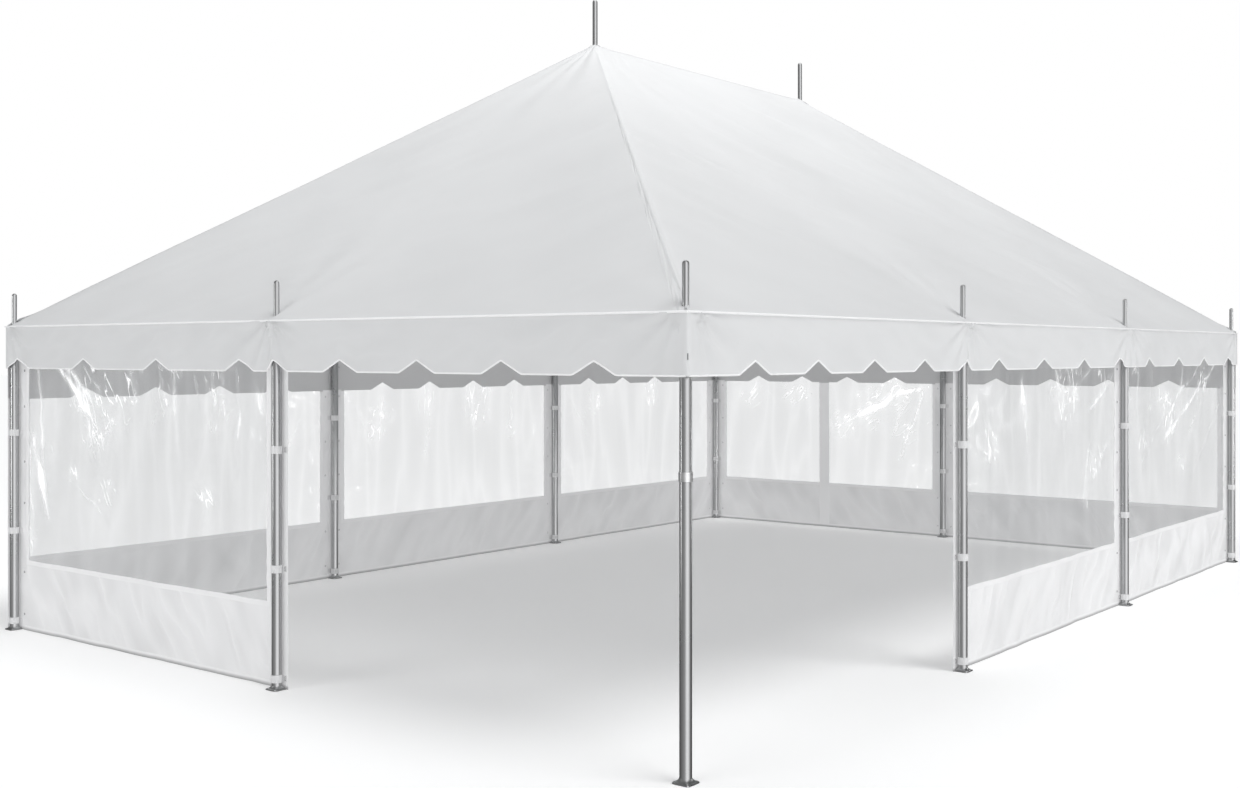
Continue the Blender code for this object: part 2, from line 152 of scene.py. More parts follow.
def add_node(tree, kind, fields=None, **inputs):
    """Add a node. fields are its own settings, and the rest are its inputs."""
    node = tree.nodes.new(kind)
    for field, value in (fields or {}).items():
        setattr(node, field, value)
    feed(tree, node, inputs)
    return node


def math_node(tree, operation, first, second=0.0, third=0.5):
    return add_node(tree, "ShaderNodeMath", {"operation": operation},
                    i0=first, i1=second, i2=third).outputs[0]


def product(tree, first, second):
    return math_node(tree, "MULTIPLY", first, second)


def rescale(tree, value, low, high, new_low, new_high):
    """Map low to new_low and high to new_high, and stop there."""
    return add_node(tree, "ShaderNodeMapRange", {"clamp": True}, Value=value,
                    i1=low, i2=high, i3=new_low, i4=new_high).outputs[0]


def mix_colours(tree, share, low, high, blend="MIX"):
    """From low at a share of 0 to high at 1. Each is a colour or a socket."""
    return add_node(tree, "ShaderNodeMix", {"data_type": "RGBA", "blend_type": blend},
                    Factor=share, i6=low, i7=high).outputs[2]


def grey_ramp(tree, value, stops):
    """A ramp through greys, from pairs of a position and a level."""
    ramp = add_node(tree, "ShaderNodeValToRGB", Fac=value)
    elements = ramp.color_ramp.elements
    for index, (position, level) in enumerate(stops):
        stop = elements[index] if index < 2 else elements.new(position)
        stop.position = position
        stop.color = (level, level, level, 1.0)
    return ramp.outputs["Color"]


def start_finish(name):
    """A material, its tree and its Principled shader."""
    material = bpy.data.materials.new(name)
    material.use_nodes = True
    return material, material.node_tree, material.node_tree.nodes["Principled BSDF"]


# %% [markdown]
# ## Floor, background and light
#
# The object is shown on white in soft studio light. The floor glows a little, as a light table
# does, so that it meets the white background without a line, and still takes soft shadows. Three
# broad distant lamps and a softbox over the roof give each slope its own tone. Bright metal needs
# something dark to reflect, so rays that leave a glossy surface see a studio of bright and dark
# bands, and two narrow softboxes that only gloss sees put streaks on the film.

# %% Floor
FLOOR_HALF = 120.0
FLOOR_GLOW = 0.225

floor_mesh = bpy.data.meshes.new("studio_floor")
floor_corners = [(-FLOOR_HALF, -FLOOR_HALF, 0), (FLOOR_HALF, -FLOOR_HALF, 0),
                 (FLOOR_HALF, FLOOR_HALF, 0), (-FLOOR_HALF, FLOOR_HALF, 0)]
floor_mesh.from_pydata(floor_corners, [], [(0, 1, 2, 3)])
floor = bpy.data.objects.new("studio_floor", floor_mesh)
bpy.context.scene.collection.objects.link(floor)
floor.visible_glossy = False
floor_finish, floor_tree, floor_shader = start_finish("studio_floor")
feed(floor_tree, floor_shader, {
    "Base Color": (0.83, 0.83, 0.83, 1.0), "Roughness": 1.0, "Specular IOR Level": 0.0,
    "Emission Color": (1.0, 1.0, 1.0, 1.0), "Emission Strength": FLOOR_GLOW})
floor_mesh.materials.append(floor_finish)

# %% Background
AMBIENT = 0.43
STUDIO_STRENGTH = 1.6
STUDIO_BANDS = (
    (0.00, 0.26), (0.07, 0.34), (0.13, 0.90), (0.20, 1.00), (0.26, 0.80), (0.32, 0.24),
    (0.42, 0.07), (0.60, 0.05), (0.76, 0.06), (0.86, 0.14), (1.00, 0.26),
)

world = bpy.data.worlds.new("studio")
world.use_nodes = True
bpy.context.scene.world = world
sky = world.node_tree
sky.nodes.clear()
direction = add_node(sky, "ShaderNodeTexCoord").outputs["Generated"]
around = add_node(sky, "ShaderNodeTexGradient", {"gradient_type": "RADIAL"}, Vector=direction)
bands = grey_ramp(sky, around.outputs["Fac"], STUDIO_BANDS)
rays = add_node(sky, "ShaderNodeLightPath").outputs
soft, studio, white = (
    add_node(sky, "ShaderNodeBackground", Color=colour, Strength=strength).outputs[0]
    for colour, strength in (((0.97, 0.985, 1.0, 1.0), AMBIENT), (bands, STUDIO_STRENGTH),
                             ((1.0, 1.0, 1.0, 1.0), 1.0)))
lit = add_node(sky, "ShaderNodeMixShader", i0=rays["Is Glossy Ray"], i1=soft, i2=studio).outputs[0]
seen = add_node(sky, "ShaderNodeMixShader", i0=rays["Is Camera Ray"], i1=lit, i2=white).outputs[0]
add_node(sky, "ShaderNodeOutputWorld", Surface=seen)
bpy.context.scene.view_settings.view_transform = "Standard"

# %% Lamps
def add_lamp(data, towards, place=(0.0, 0.0, 0.0)):
    """Hang a lamp. towards is the way from what it lights to the lamp."""
    lamp = bpy.data.objects.new(data.name, data)
    lamp.location = place
    lamp.rotation_euler = Vector(towards).to_track_quat("Z", "Y").to_euler()
    bpy.context.scene.collection.objects.link(lamp)
    return lamp


def add_sun(name, towards, strength, spread):
    """A distant lamp that metal does not mirror. towards points to it; spread is in degrees."""
    data = bpy.data.lights.new(name, "SUN")
    data.energy = strength
    data.angle = math.radians(spread)
    add_lamp(data, towards).visible_glossy = False


def add_softbox(name, place, aim, width, height, power, only_gloss=False):
    """A rectangular lamp. One that shows only in gloss puts streaks on film and metal, and no more."""
    data = bpy.data.lights.new(name, "AREA")
    data.shape = "RECTANGLE"
    data.size = width
    data.size_y = height
    data.energy = power
    lamp = add_lamp(data, Vector(place) - Vector(aim), place)
    lamp.visible_camera = False
    lamp.visible_diffuse = not only_gloss


add_sun("high_light", (0.0, -0.5, 0.866), 1.28, 30.0)
add_sun("front_light", (0.25, -0.88, 0.40), 0.13, 20.0)
add_sun("left_light", (-0.7, 0.1, 0.7), 0.45, 30.0)
add_softbox("top_light", (0.0, 0.0, 8.0), (0.0, 0.0, 0.0), 9.0, 5.0, 160.0)
add_softbox("left_film_strip", (-11.8, 7.0, 2.6), (-4.5, 1.5, 1.4), 0.7, 3.4, 110.0, only_gloss=True)
add_softbox("front_film_strip", (8.6, -9.4, 2.6), (1.5, -3.0, 1.4), 0.7, 3.4, 110.0, only_gloss=True)

# %% [markdown]
# ## Random hills for cloth
#
# Cloth that has been folded and hung never lies quite flat. A lattice of repeatable random
# numbers, joined smoothly, gives gentle hills, and a fan of waves that dies away from a fixing
# point gives the tension creases round each pole. Both work on whole arrays of points at once.

# %% Hills and fans
def ease(value, low, high):
    """0 below low, 1 above high, and a smooth step between."""
    share = np.clip((value - low) / (high - low), 0.0, 1.0)
    return share * share * (3 - 2 * share)


def lattice_value(i, j, seed):
    """A repeatable random number from 0 to 1 for each pair of whole numbers."""
    wave = np.sin(i * 12.9898 + j * 78.233 + seed * 37.719) * 43758.5453
    return wave - np.floor(wave)


def hills(x, y, seed):
    """Smooth random hills about one unit wide, from -1 to 1."""
    i, j = np.floor(x), np.floor(y)
    fx, fy = x - i, y - j
    fx, fy = fx * fx * (3 - 2 * fx), fy * fy * (3 - 2 * fy)
    low = lattice_value(i, j, seed) * (1 - fx) + lattice_value(i + 1, j, seed) * fx
    high = lattice_value(i, j + 1, seed) * (1 - fx) + lattice_value(i + 1, j + 1, seed) * fx
    return 2 * (low * (1 - fy) + high * fy) - 1


def fan(across, along, folds, reach, height, turn=0.0):
    """Creases that spread from a fixing point and die away within about reach."""
    distance = np.hypot(across, along)
    start = np.minimum(1.0, distance / (0.12 * reach))
    wave = np.cos(folds * np.arctan2(along, across) + turn)
    return height * start * np.exp(-distance / reach) * wave


# %% [markdown]
# ## Building pieces
#
# A sheet is a grid of quads over two lists of positions. Its UV map holds the same two positions,
# in metres except down the valance, so that creases and weave keep their size. Opaque cloth then
# gets its real thickness from a Solidify modifier.

# %% Piece helpers
def add_piece(name, mesh, finish, slot, *replaced):
    """Put a mesh into the scene as a piece that rides with the marquee and replaces its solids."""
    piece = bpy.data.objects.new(name, mesh)
    bpy.context.scene.collection.objects.link(piece)
    if not mesh.materials:
        mesh.materials.append(finish)
    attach(piece, BODY)
    if replaced:
        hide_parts(*replaced)
    return piece


def wire_mesh(name, points, edges=()):
    """A mesh of points, with edges between them if given."""
    mesh = bpy.data.meshes.new(name)
    mesh.from_pydata([tuple(point) for point in points], edges, [])
    return mesh


def bm_mesh(name, bm, sharp_angle=None):
    """Turn a bmesh into a mesh, smooth but for edges over sharp_angle if that is given."""
    mesh = bpy.data.meshes.new(name)
    bm.to_mesh(mesh)
    bm.free()
    if sharp_angle:
        mesh.shade_smooth()
        mesh.set_sharp_from_angle(angle=math.radians(sharp_angle))
    return mesh


def even_steps(low, high, step):
    """Positions from low to high with nearly that step."""
    return np.linspace(low, high, max(2, int(round((high - low) / step)) + 1))


def grid_sheet(columns, rows, place, keep=None, flip=False):
    """Arrays for a sheet: points, quads and UV. place maps two arrays to x, y and z arrays."""
    u, v = np.meshgrid(columns, rows)
    points = np.stack([part.ravel() for part in place(u, v)], axis=1)
    flat = np.stack([u.ravel(), v.ravel()], axis=1)
    width = len(columns)
    row, column = np.meshgrid(np.arange(len(rows) - 1), np.arange(width - 1), indexing="ij")
    corner = (row * width + column).ravel()
    quads = np.stack([corner, corner + 1, corner + width + 1, corner + width], axis=1)
    if keep is not None:
        middle = flat[quads].mean(axis=1)
        quads = quads[keep(middle[:, 0], middle[:, 1])]
    return points, quads[:, ::-1] if flip else quads, flat


def quads_mesh(name, points, quads, flat):
    """A mesh from arrays, with the flat positions as its UV map."""
    mesh = bpy.data.meshes.new(name)
    mesh.from_pydata(points.tolist(), [], quads.tolist())
    layer = mesh.uv_layers.new(name="cloth")
    layer.data.foreach_set("uv", flat[quads.ravel()].astype(np.float32).ravel())
    return mesh


def sheets_mesh(name, sheets, thickness=0.0):
    """Join sheets into one mesh, and give it a thickness if asked."""
    points, quads, flat, count = [], [], [], 0
    for sheet_points, sheet_quads, sheet_flat in sheets:
        used, renumbered = np.unique(sheet_quads, return_inverse=True)
        points.append(sheet_points[used])
        flat.append(sheet_flat[used])
        quads.append(renumbered.reshape(-1, 4) + count)
        count += len(used)
    mesh = quads_mesh(name, *(np.concatenate(part) for part in (points, quads, flat)))
    mesh.shade_smooth()
    return thicken(mesh, thickness) if thickness else mesh


def bake(holder, name, sharp_angle):
    """The plain mesh that an object's modifiers make. The object goes."""
    made = bpy.data.meshes.new_from_object(holder.evaluated_get(bpy.context.evaluated_depsgraph_get()))
    holder.modifiers.clear()
    bpy.data.objects.remove(holder)
    made.name = name
    made.set_sharp_from_angle(angle=math.radians(sharp_angle))
    return made


def hold(mesh):
    """A passing object that holds a mesh while its modifiers work."""
    holder = bpy.data.objects.new("holder", mesh)
    bpy.context.scene.collection.objects.link(holder)
    return holder


def thicken(mesh, thickness):
    """Give a sheet its real thickness, half to each side, with square rims."""
    holder = hold(mesh)
    solid = holder.modifiers.new("thickness", "SOLIDIFY")
    solid.thickness = thickness
    solid.offset = 0.0
    solid.use_even_offset = True
    return bake(holder, mesh.name, 50)


# %% [markdown]
# ## Geometry Nodes helpers
#
# Tubes, bands, rivets and eyelets repeat, so Geometry Nodes make them. Each tree is built once
# with named inputs, and ends in Realize Instances and Set Material. Its result is baked to a
# plain mesh and the modifier goes, so that nothing live is left on a finished piece.

# %% Start, end and run a tree
def start_tree(name, inputs):
    """A tree whose inputs are name: (socket kind, value). Returns the tree and its inputs' sockets."""
    tree = bpy.data.node_groups.new(name, "GeometryNodeTree")
    tree.is_modifier = True
    tree.interface.new_socket("Geometry", in_out="INPUT", socket_type="NodeSocketGeometry")
    for label, (kind, value) in inputs.items():
        socket = tree.interface.new_socket(label, in_out="INPUT", socket_type="NodeSocket" + kind)
        socket.default_value = value
    tree.interface.new_socket("Finish", in_out="INPUT", socket_type="NodeSocketMaterial")
    tree.interface.new_socket("Geometry", in_out="OUTPUT", socket_type="NodeSocketGeometry")
    return tree, tree.nodes.new("NodeGroupInput").outputs


def end_tree(tree, source, geometry):
    """Realize the instances, set the finish and close the tree."""
    realized = add_node(tree, "GeometryNodeRealizeInstances", Geometry=geometry)
    finished = add_node(tree, "GeometryNodeSetMaterial", Geometry=realized.outputs[0],
                        Material=source["Finish"])
    add_node(tree, "NodeGroupOutput", Geometry=finished.outputs[0])


def grow(tree, mesh, name, finish, slot, *replaced, **values):
    """Run a tree on a mesh of points or edges, and add the plain mesh that it makes as a piece."""
    holder = hold(mesh)
    modifier = holder.modifiers.new(tree.name, "NODES")
    modifier.node_group = tree
    values["Finish"] = finish
    for item in tree.interface.items_tree:
        if item.item_type == "SOCKET" and item.in_out == "INPUT" and item.name in values:
            modifier[item.identifier] = values[item.name]
    return add_piece(name, bake(holder, name, 40), finish, slot, *replaced)


def circle(tree, resolution, radius):
    return add_node(tree, "GeometryNodeCurvePrimitiveCircle", Resolution=resolution, Radius=radius).outputs[0]


def sweep(tree, path, profile, caps=False):
    """A skin from a profile that runs along a path."""
    return add_node(tree, "GeometryNodeCurveToMesh", **{
        "Curve": path, "Profile Curve": profile, "Fill Caps": caps}).outputs[0]


def smoothed(tree, geometry):
    return add_node(tree, "GeometryNodeSetShadeSmooth", Geometry=geometry).outputs[0]


# %% The tree for tubes and beads along a path
tube_tree, tube_in = start_tree("tube_along_path", {"Radius": ("Float", 0.02), "Sides": ("Int", 24)})
tube_path = add_node(tube_tree, "GeometryNodeMeshToCurve", Mesh=tube_in["Geometry"]).outputs[0]
tube_ring = circle(tube_tree, tube_in["Sides"], tube_in["Radius"])
end_tree(tube_tree, tube_in, smoothed(tube_tree, sweep(tube_tree, tube_path, tube_ring, caps=True)))


def path_mesh(name, paths):
    """Edges along one or more lists of points."""
    points, edges = [], []
    for path in paths:
        first = len(points)
        points += path
        edges += [(index, index + 1) for index in range(first, len(points) - 1)]
    return wire_mesh(name, points, edges)


# %% The trees for rivets and eyelets on points
def fastener_tree(name, inputs, make_shape):
    """A tree that sets one small shape on each point, turned along the point's facing."""
    tree, source = start_tree(name, inputs)
    facing = add_node(tree, "GeometryNodeInputNamedAttribute", {"data_type": "FLOAT_VECTOR"}, Name="facing")
    turn = add_node(tree, "FunctionNodeAlignRotationToVector", {"axis": "Z"},
                    Vector=facing.outputs["Attribute"])
    placed = add_node(tree, "GeometryNodeInstanceOnPoints", Points=source["Geometry"],
                      Instance=smoothed(tree, make_shape(tree, source)), Rotation=turn.outputs[0])
    end_tree(tree, source, placed.outputs[0])
    return tree


def rivet_shape(tree, source):
    """A low dome."""
    ball = add_node(tree, "GeometryNodeMeshUVSphere", Segments=12, Rings=6, Radius=source["Radius"])
    low = add_node(tree, "GeometryNodeTransform", Geometry=ball.outputs[0], Scale=(1.0, 1.0, 0.45))
    return low.outputs[0]


def eyelet_shape(tree, source):
    """A rolled ring."""
    return sweep(tree, circle(tree, 20, source["Radius"]), circle(tree, 8, source["Roll"]))


rivet_tree = fastener_tree("rivets", {"Radius": ("Float", 0.003)}, rivet_shape)
eyelet_tree = fastener_tree("eyelets", {"Radius": ("Float", 0.007), "Roll": ("Float", 0.002)}, eyelet_shape)


def facing_points(name, places):
    """Points for a fastener tree, from pairs of a place and the way that it faces."""
    mesh = wire_mesh(name, [place for place, way in places])
    facing = mesh.attributes.new("facing", "FLOAT_VECTOR", "POINT")
    facing.data.foreach_set("vector", [number for place, way in places for number in way])
    return mesh


# %% [markdown]
# ## Shared surface effects
#
# Three effects appear in more than one finish. Creases are stretched noise with sharp crests,
# the weave is the thread pattern that shows through the coating, and handling marks are faint
# uneven grey. Each is a shader node group that is built once and used with its own values.

# %% Shader groups
def start_group(name, inputs, outputs):
    """A shader group with named inputs and outputs. Returns it, its inputs' sockets and its end."""
    group = bpy.data.node_groups.new(name, "ShaderNodeTree")
    for label, (kind, value) in inputs.items():
        socket = group.interface.new_socket(label, in_out="INPUT", socket_type="NodeSocket" + kind)
        if value is not None:
            socket.default_value = value
    for label in outputs:
        group.interface.new_socket(label, in_out="OUTPUT", socket_type="NodeSocketFloat")
    return group, group.nodes.new("NodeGroupInput").outputs, group.nodes.new("NodeGroupOutput")


def noise(tree, vector, scale, detail, roughness=0.5):
    return add_node(tree, "ShaderNodeTexNoise", Vector=vector, Scale=scale, Detail=detail,
                    Roughness=roughness).outputs


crease_group, crease_in, crease_out = start_group(
    "creases", {"Vector": ("Vector", None), "Scale": ("Float", 3.0), "Warp": ("Float", 0.4)},
    ["Height", "Crest"])
warp_noise = noise(crease_group, crease_in["Vector"], crease_in["Scale"], 2.0)
warp_shift = add_node(crease_group, "ShaderNodeVectorMath", {"operation": "SCALE"},
                      i0=warp_noise["Color"], Scale=crease_in["Warp"])
warped = add_node(crease_group, "ShaderNodeVectorMath", {"operation": "ADD"},
                  i0=crease_in["Vector"], i1=warp_shift.outputs[0])
crease_noise = noise(crease_group, warped.outputs[0], crease_in["Scale"], 1.2)
swing = math_node(crease_group, "MULTIPLY_ADD", crease_noise["Fac"], 2.0, -1.0)
crest = math_node(crease_group, "SUBTRACT", 1.0, math_node(crease_group, "ABSOLUTE", swing))
feed(crease_group, crease_out, {"Height": crest, "Crest": math_node(crease_group, "POWER", crest, 6.0)})

weave_group, weave_in, weave_out = start_group(
    "weave", {"Vector": ("Vector", None), "Threads": ("Float", 450.0)}, ["Height"])
weave_axes = add_node(weave_group, "ShaderNodeSeparateXYZ", Vector=weave_in["Vector"]).outputs
warp_thread, weft_thread = (
    math_node(weave_group, "SINE", product(weave_group, product(weave_group, weave_axes[axis],
                                                                weave_in["Threads"]), 2 * math.pi))
    for axis in ("X", "Y"))
feed(weave_group, weave_out, {"Height": product(weave_group, warp_thread, weft_thread)})

marks_group, marks_in, marks_out = start_group(
    "handling_marks", {"Vector": ("Vector", None), "Scale": ("Float", 1.2)}, ["Tone", "Scuff"])
marks_noise = noise(marks_group, marks_in["Vector"], marks_in["Scale"], 4.0, 0.6)
scuff_noise = noise(marks_group, marks_in["Vector"], product(marks_group, marks_in["Scale"], 9.0), 5.0, 0.7)
feed(marks_group, marks_out, {
    "Tone": marks_noise["Fac"], "Scuff": rescale(marks_group, scuff_noise["Fac"], 0.62, 0.78, 0.0, 1.0)})
print("Shader groups:", crease_group.name, weave_group.name, marks_group.name)

# %% [markdown]
# ## Coated cloth
#
# Canopy, valance and walls are polyester coated with white vinyl: nearly matt, faintly woven, and
# creased where it was folded for transport. The creases are long across the cloth, so their noise
# is squeezed in one direction and slanted. Their valleys are painted a little darker, a painted
# shade, and the last centimetres over the ground are painted darker too, a painted shade where the
# cloth meets the ground. The walls let some light through, which a weak emission in the cloth's own
# colour stands for. One function makes each kind of cloth.

# %% Cloth finishes
def use_group(tree, group, **inputs):
    return add_node(tree, "ShaderNodeGroup", {"node_tree": group}, **inputs).outputs


def object_place(tree):
    return add_node(tree, "ShaderNodeTexCoord").outputs["Object"]


def flat_place(tree):
    return add_node(tree, "ShaderNodeUVMap", {"uv_map": "cloth"}).outputs[0]


def mapped(tree, vector, **change):
    return add_node(tree, "ShaderNodeMapping", Vector=vector, **change).outputs[0]


def bump(tree, strength, distance, height, **under):
    return add_node(tree, "ShaderNodeBump", Strength=strength, Distance=distance, Height=height,
                    **under).outputs[0]


def coated_cloth(name, bright, dull, squeeze, crease_depth, roughness,
                 through=0.0, slant=0.0, valley_shade=0.0):
    """White coated cloth. squeeze and slant set the way its creases run, and the last argument how much
    painted shade darkens their valleys. through is emission in the cloth's own colour, which stands
    for the light that comes through the cloth, and on the hem beads adds to their painted highlight."""
    material, tree, shader = start_finish(name)
    flat = flat_place(tree)
    squeezed = mapped(tree, mapped(tree, flat, Rotation=(0.0, 0.0, slant)), Scale=squeeze)
    creases = use_group(tree, crease_group, Vector=squeezed, Scale=1.6, Warp=0.25)
    weave = use_group(tree, weave_group, Vector=flat, Threads=450.0)
    place = object_place(tree)
    marks = use_group(tree, marks_group, Vector=place, Scale=0.9)
    tone = mix_colours(tree, marks["Tone"], (*dull, 1.0), (*bright, 1.0))
    scuffed = mix_colours(tree, product(tree, marks["Scuff"], 0.10), tone, (0.72, 0.72, 0.71, 1.0),
                          "MULTIPLY")
    height = add_node(tree, "ShaderNodeSeparateXYZ", Vector=place).outputs["Z"]
    # Painted shade: the cloth is darkened over its last centimetres above the ground, where it meets the
    # floor
    ground_shade = rescale(tree, height, 0.004, 0.026, 0.45, 1.0)
    # Painted shade: the crease valleys are darkened by the valley share
    shaded = rescale(tree, creases["Height"], 0.55, 1.0, 1.0 - valley_shade, 1.0)
    # The colour carries the handling marks, the scuffs and both painted shades
    marks_and_painted_shade = add_node(tree, "ShaderNodeVectorMath", {"operation": "SCALE"}, i0=scuffed,
                      Scale=product(tree, ground_shade, shaded)).outputs[0]
    folds = bump(tree, 0.5, crease_depth, creases["Height"])
    feed(tree, shader, {
        "Base Color": marks_and_painted_shade,
        "Roughness": rescale(tree, marks["Tone"], 0.3, 0.7, roughness - 0.05, roughness + 0.06),
        "Normal": bump(tree, 0.25, 0.0002, weave["Height"], Normal=folds),
        "Specular IOR Level": 0.35,
        "Emission Color": marks_and_painted_shade,
        "Emission Strength": through,
    })
    return material


CANOPY_CLOTH = coated_cloth("canopy_cloth", (0.725, 0.73, 0.735), (0.685, 0.69, 0.695),
                            (0.5, 1.6, 1.0), 0.024, 0.52, slant=0.5, valley_shade=0.02)
VALANCE_CLOTH = coated_cloth("valance_cloth", (0.825, 0.83, 0.835), (0.775, 0.78, 0.785),
                             (1.6, 0.9, 1.0), 0.014, 0.50, slant=0.5, valley_shade=0.03)
WALL_CLOTH = coated_cloth("wall_cloth", (0.79, 0.79, 0.795), (0.74, 0.74, 0.745),
                          (2.4, 0.8, 1.0), 0.070, 0.46, through=0.24, slant=0.6, valley_shade=0.10)
# A darker copy of the wall cloth: painted shade for the border over the back and right windows
SHADED_BORDER_CLOTH = coated_cloth("shaded_border_cloth", (0.74, 0.74, 0.745), (0.69, 0.69, 0.695),
                            (1.3, 0.8, 1.0), 0.010, 0.46)
WELD_CLOTH = coated_cloth("weld_tape", (0.83, 0.83, 0.835), (0.79, 0.79, 0.795),
                          (2.0, 2.0, 1.0), 0.003, 0.40, through=0.20)
# Painted highlight: the hem beads are a lighter white than the valance and glow faintly, for the light line
# along the hems and the eave
BEAD_CLOTH = coated_cloth("hem_bead", (0.95, 0.95, 0.955), (0.91, 0.91, 0.915),
                          (2.0, 2.0, 1.0), 0.001, 0.36, through=0.08)

# %% [markdown]
# ## Clear film
#
# The windows are clear soft vinyl about half a millimetre thick, with a slight haze, and older
# and hazier at the back and right. Three attributes on each window say where it is creased, where
# it is crushed, and how its fine streaks lean. Beside a crease the film is painted greyer and less
# clear, a painted shade. On the crests it is painted white and given a weak emission, a painted
# highlight, and a fainter emission along its broad streaks and in crushed patches is a painted
# sheen. Only the camera sees the full haze, so that light passes into the marquee as it does
# through real film.

# %% Film finish
# How cloudy the film is, from near flat film to the crest of a crease at 1. With the film's grey
# and white this paints shade beside a crease and a highlight on its crest
CREASE_CLOUD = ((0.22, 0.27), (0.40, 0.36), (0.66, 0.66), (1.0, 0.80))


def clear_film(name, haze):
    """Clear vinyl with painted shade in grey beside each crease and a painted white highlight on its crest.
    """
    material, tree, shader = start_finish(name)
    flat = flat_place(tree)
    crease, crushed, lean = (
        add_node(tree, "ShaderNodeAttribute", {"attribute_name": label}).outputs["Fac"]
        for label in ("crease", "crushed", "lean"))
    upright = mapped(tree, flat, Scale=(2.4, 0.35, 1.0))
    bands = use_group(tree, crease_group, Vector=upright, Scale=1.5, Warp=0.2)
    leaning = add_node(tree, "ShaderNodeVectorRotate", {"rotation_type": "Z_AXIS"}, Vector=flat, Angle=lean)
    streaked = mapped(tree, leaning.outputs[0], Scale=(1.0, 0.26, 1.0))
    crumple = use_group(tree, crease_group, Vector=streaked, Scale=16.0, Warp=0.05)
    cluster = rescale(tree, noise(tree, flat, 9.0, 2.0)["Fac"], 0.36, 0.52, 0.0, 1.0)
    facets = product(tree, math_node(tree, "POWER", crumple["Crest"], 2.2), product(tree, crushed, cluster))
    broken = rescale(tree, crumple["Height"], 0.55, 0.95, 0.55, 1.0)
    lines = math_node(tree, "MAXIMUM", product(tree, crease, broken), facets)
    cloudy = math_node(tree, "MAXIMUM", lines, product(tree, bands["Crest"], 0.07))
    cloud = grey_ramp(tree, cloudy, ((0.0, haze), *CREASE_CLOUD))
    camera_ray = add_node(tree, "ShaderNodeLightPath").outputs["Is Camera Ray"]
    # Painted highlight and sheen: emission on the crease crests, along the broad streaks and in crushed
    # patches
    painted_flash = product(tree, math_node(tree, "POWER", lines, 1.6), 0.85)
    painted_sheen = math_node(tree, "ADD", product(tree, bands["Crest"], 0.30), product(tree, crushed, 0.08))
    broad = bump(tree, 0.6, 0.012, bands["Height"])
    feed(tree, shader, {
        # Grey beside the creases is painted shade, white on the crests a painted highlight
        "Base Color": mix_colours(tree, lines, (0.44, 0.455, 0.465, 1.0), (0.90, 0.91, 0.92, 1.0)),
        "Alpha": product(tree, cloud, rescale(tree, camera_ray, 0.0, 1.0, 0.25, 1.0)),
        "Emission Color": math_node(tree, "ADD", painted_flash, painted_sheen),
        "Emission Strength": 1.0,
        "Roughness": rescale(tree, lines, 0.0, 1.0, 0.12, 0.18),
        "Normal": bump(tree, 0.9, 0.012, product(tree, crumple["Height"], crushed), Normal=broad),
        "IOR": 1.53,
        "Coat Weight": 0.6,
    })
    return material


CLEAR_FILM = clear_film("clear_film", 0.17)
OLDER_FILM = clear_film("older_film", 0.255)

# %% [markdown]
# ## Metal and plastic
#
# The legs are galvanised and drawn, so they carry fine lines along their length and a faint
# spangle. The roof tubes are brighter aluminium. The clamps are moulded in white plastic with a
# slight grain, and the small fasteners are dull steel.

# %% Metal and plastic finishes
def drawn_metal(name, bright, dull, roughness, line_depth):
    """Metal tube with fine lines along Z and a faint spangle."""
    material, tree, shader = start_finish(name)
    place = object_place(tree)
    lines = noise(tree, mapped(tree, place, Scale=(1.0, 1.0, 0.003)), 160.0, 1.0)
    spangle = add_node(tree, "ShaderNodeTexVoronoi", Vector=place, Scale=55.0)
    marks = use_group(tree, marks_group, Vector=place, Scale=2.0)
    mixed = math_node(tree, "MULTIPLY_ADD", spangle.outputs["Distance"], 0.2, marks["Tone"])
    feed(tree, shader, {
        "Base Color": mix_colours(tree, mixed, (*dull, 1.0), (*bright, 1.0)),
        "Roughness": rescale(tree, marks["Tone"], 0.25, 0.75, roughness - 0.03, roughness + 0.04),
        "Normal": bump(tree, 0.15, line_depth, lines["Fac"]),
        "Metallic": 1.0,
    })
    return material


LEG_STEEL = drawn_metal("galvanised_steel", (0.50, 0.505, 0.51), (0.42, 0.425, 0.43), 0.28, 0.00002)
ROOF_METAL = drawn_metal("roof_aluminium", (0.80, 0.805, 0.81), (0.66, 0.665, 0.67), 0.34, 0.00008)
SMALL_STEEL = drawn_metal("fastener_steel", (0.34, 0.34, 0.35), (0.22, 0.22, 0.23), 0.42, 0.0002)


def moulded_plastic(name, colour, roughness):
    """Plastic with a fine grain and faint handling marks."""
    material, tree, shader = start_finish(name)
    place = object_place(tree)
    marks = use_group(tree, marks_group, Vector=place, Scale=14.0)
    dull = [0.9 * part for part in colour]
    feed(tree, shader, {
        "Base Color": mix_colours(tree, marks["Tone"], (*dull, 1.0), (*colour, 1.0)),
        "Normal": bump(tree, 0.2, 0.0002, noise(tree, place, 900.0, 2.0)["Fac"]),
        "Roughness": roughness,
    })
    return material


CLAMP_PLASTIC = moulded_plastic("clamp_plastic", (0.90, 0.90, 0.905), 0.42)
print("Materials in the file:", len(bpy.data.materials))

# %% [markdown]
# ## Legs
#
# Each leg is a tube with a thinner spigot on top, which stands up through the canopy. Its foot is
# a small square plate, and a pressed steel boot rises from the plate's square to the round tube
# with a mitred crease at each corner. The whole is turned as rings of points, from the ground up:
# the boot's rings change from a square to a circle.

# %% Sizes of a leg
TUBE_RADIUS = 0.030
SPIGOT_RADIUS = 0.017
HEAD_Z = EAVE_Z + SLOPE * (EDGE_Y - HALF_SHORT - TUBE_RADIUS) - PACKED_CANOPY - 0.0005
PLATE_HALF = corner_high.x + HALF_LONG
PLATE_THICKNESS = 0.008
PLATE_EDGE = 0.0012
BOOT_HALF = 0.042
BOOT_TOP = 0.024
RING_POINTS = 48
TURNED_SHARP = 28


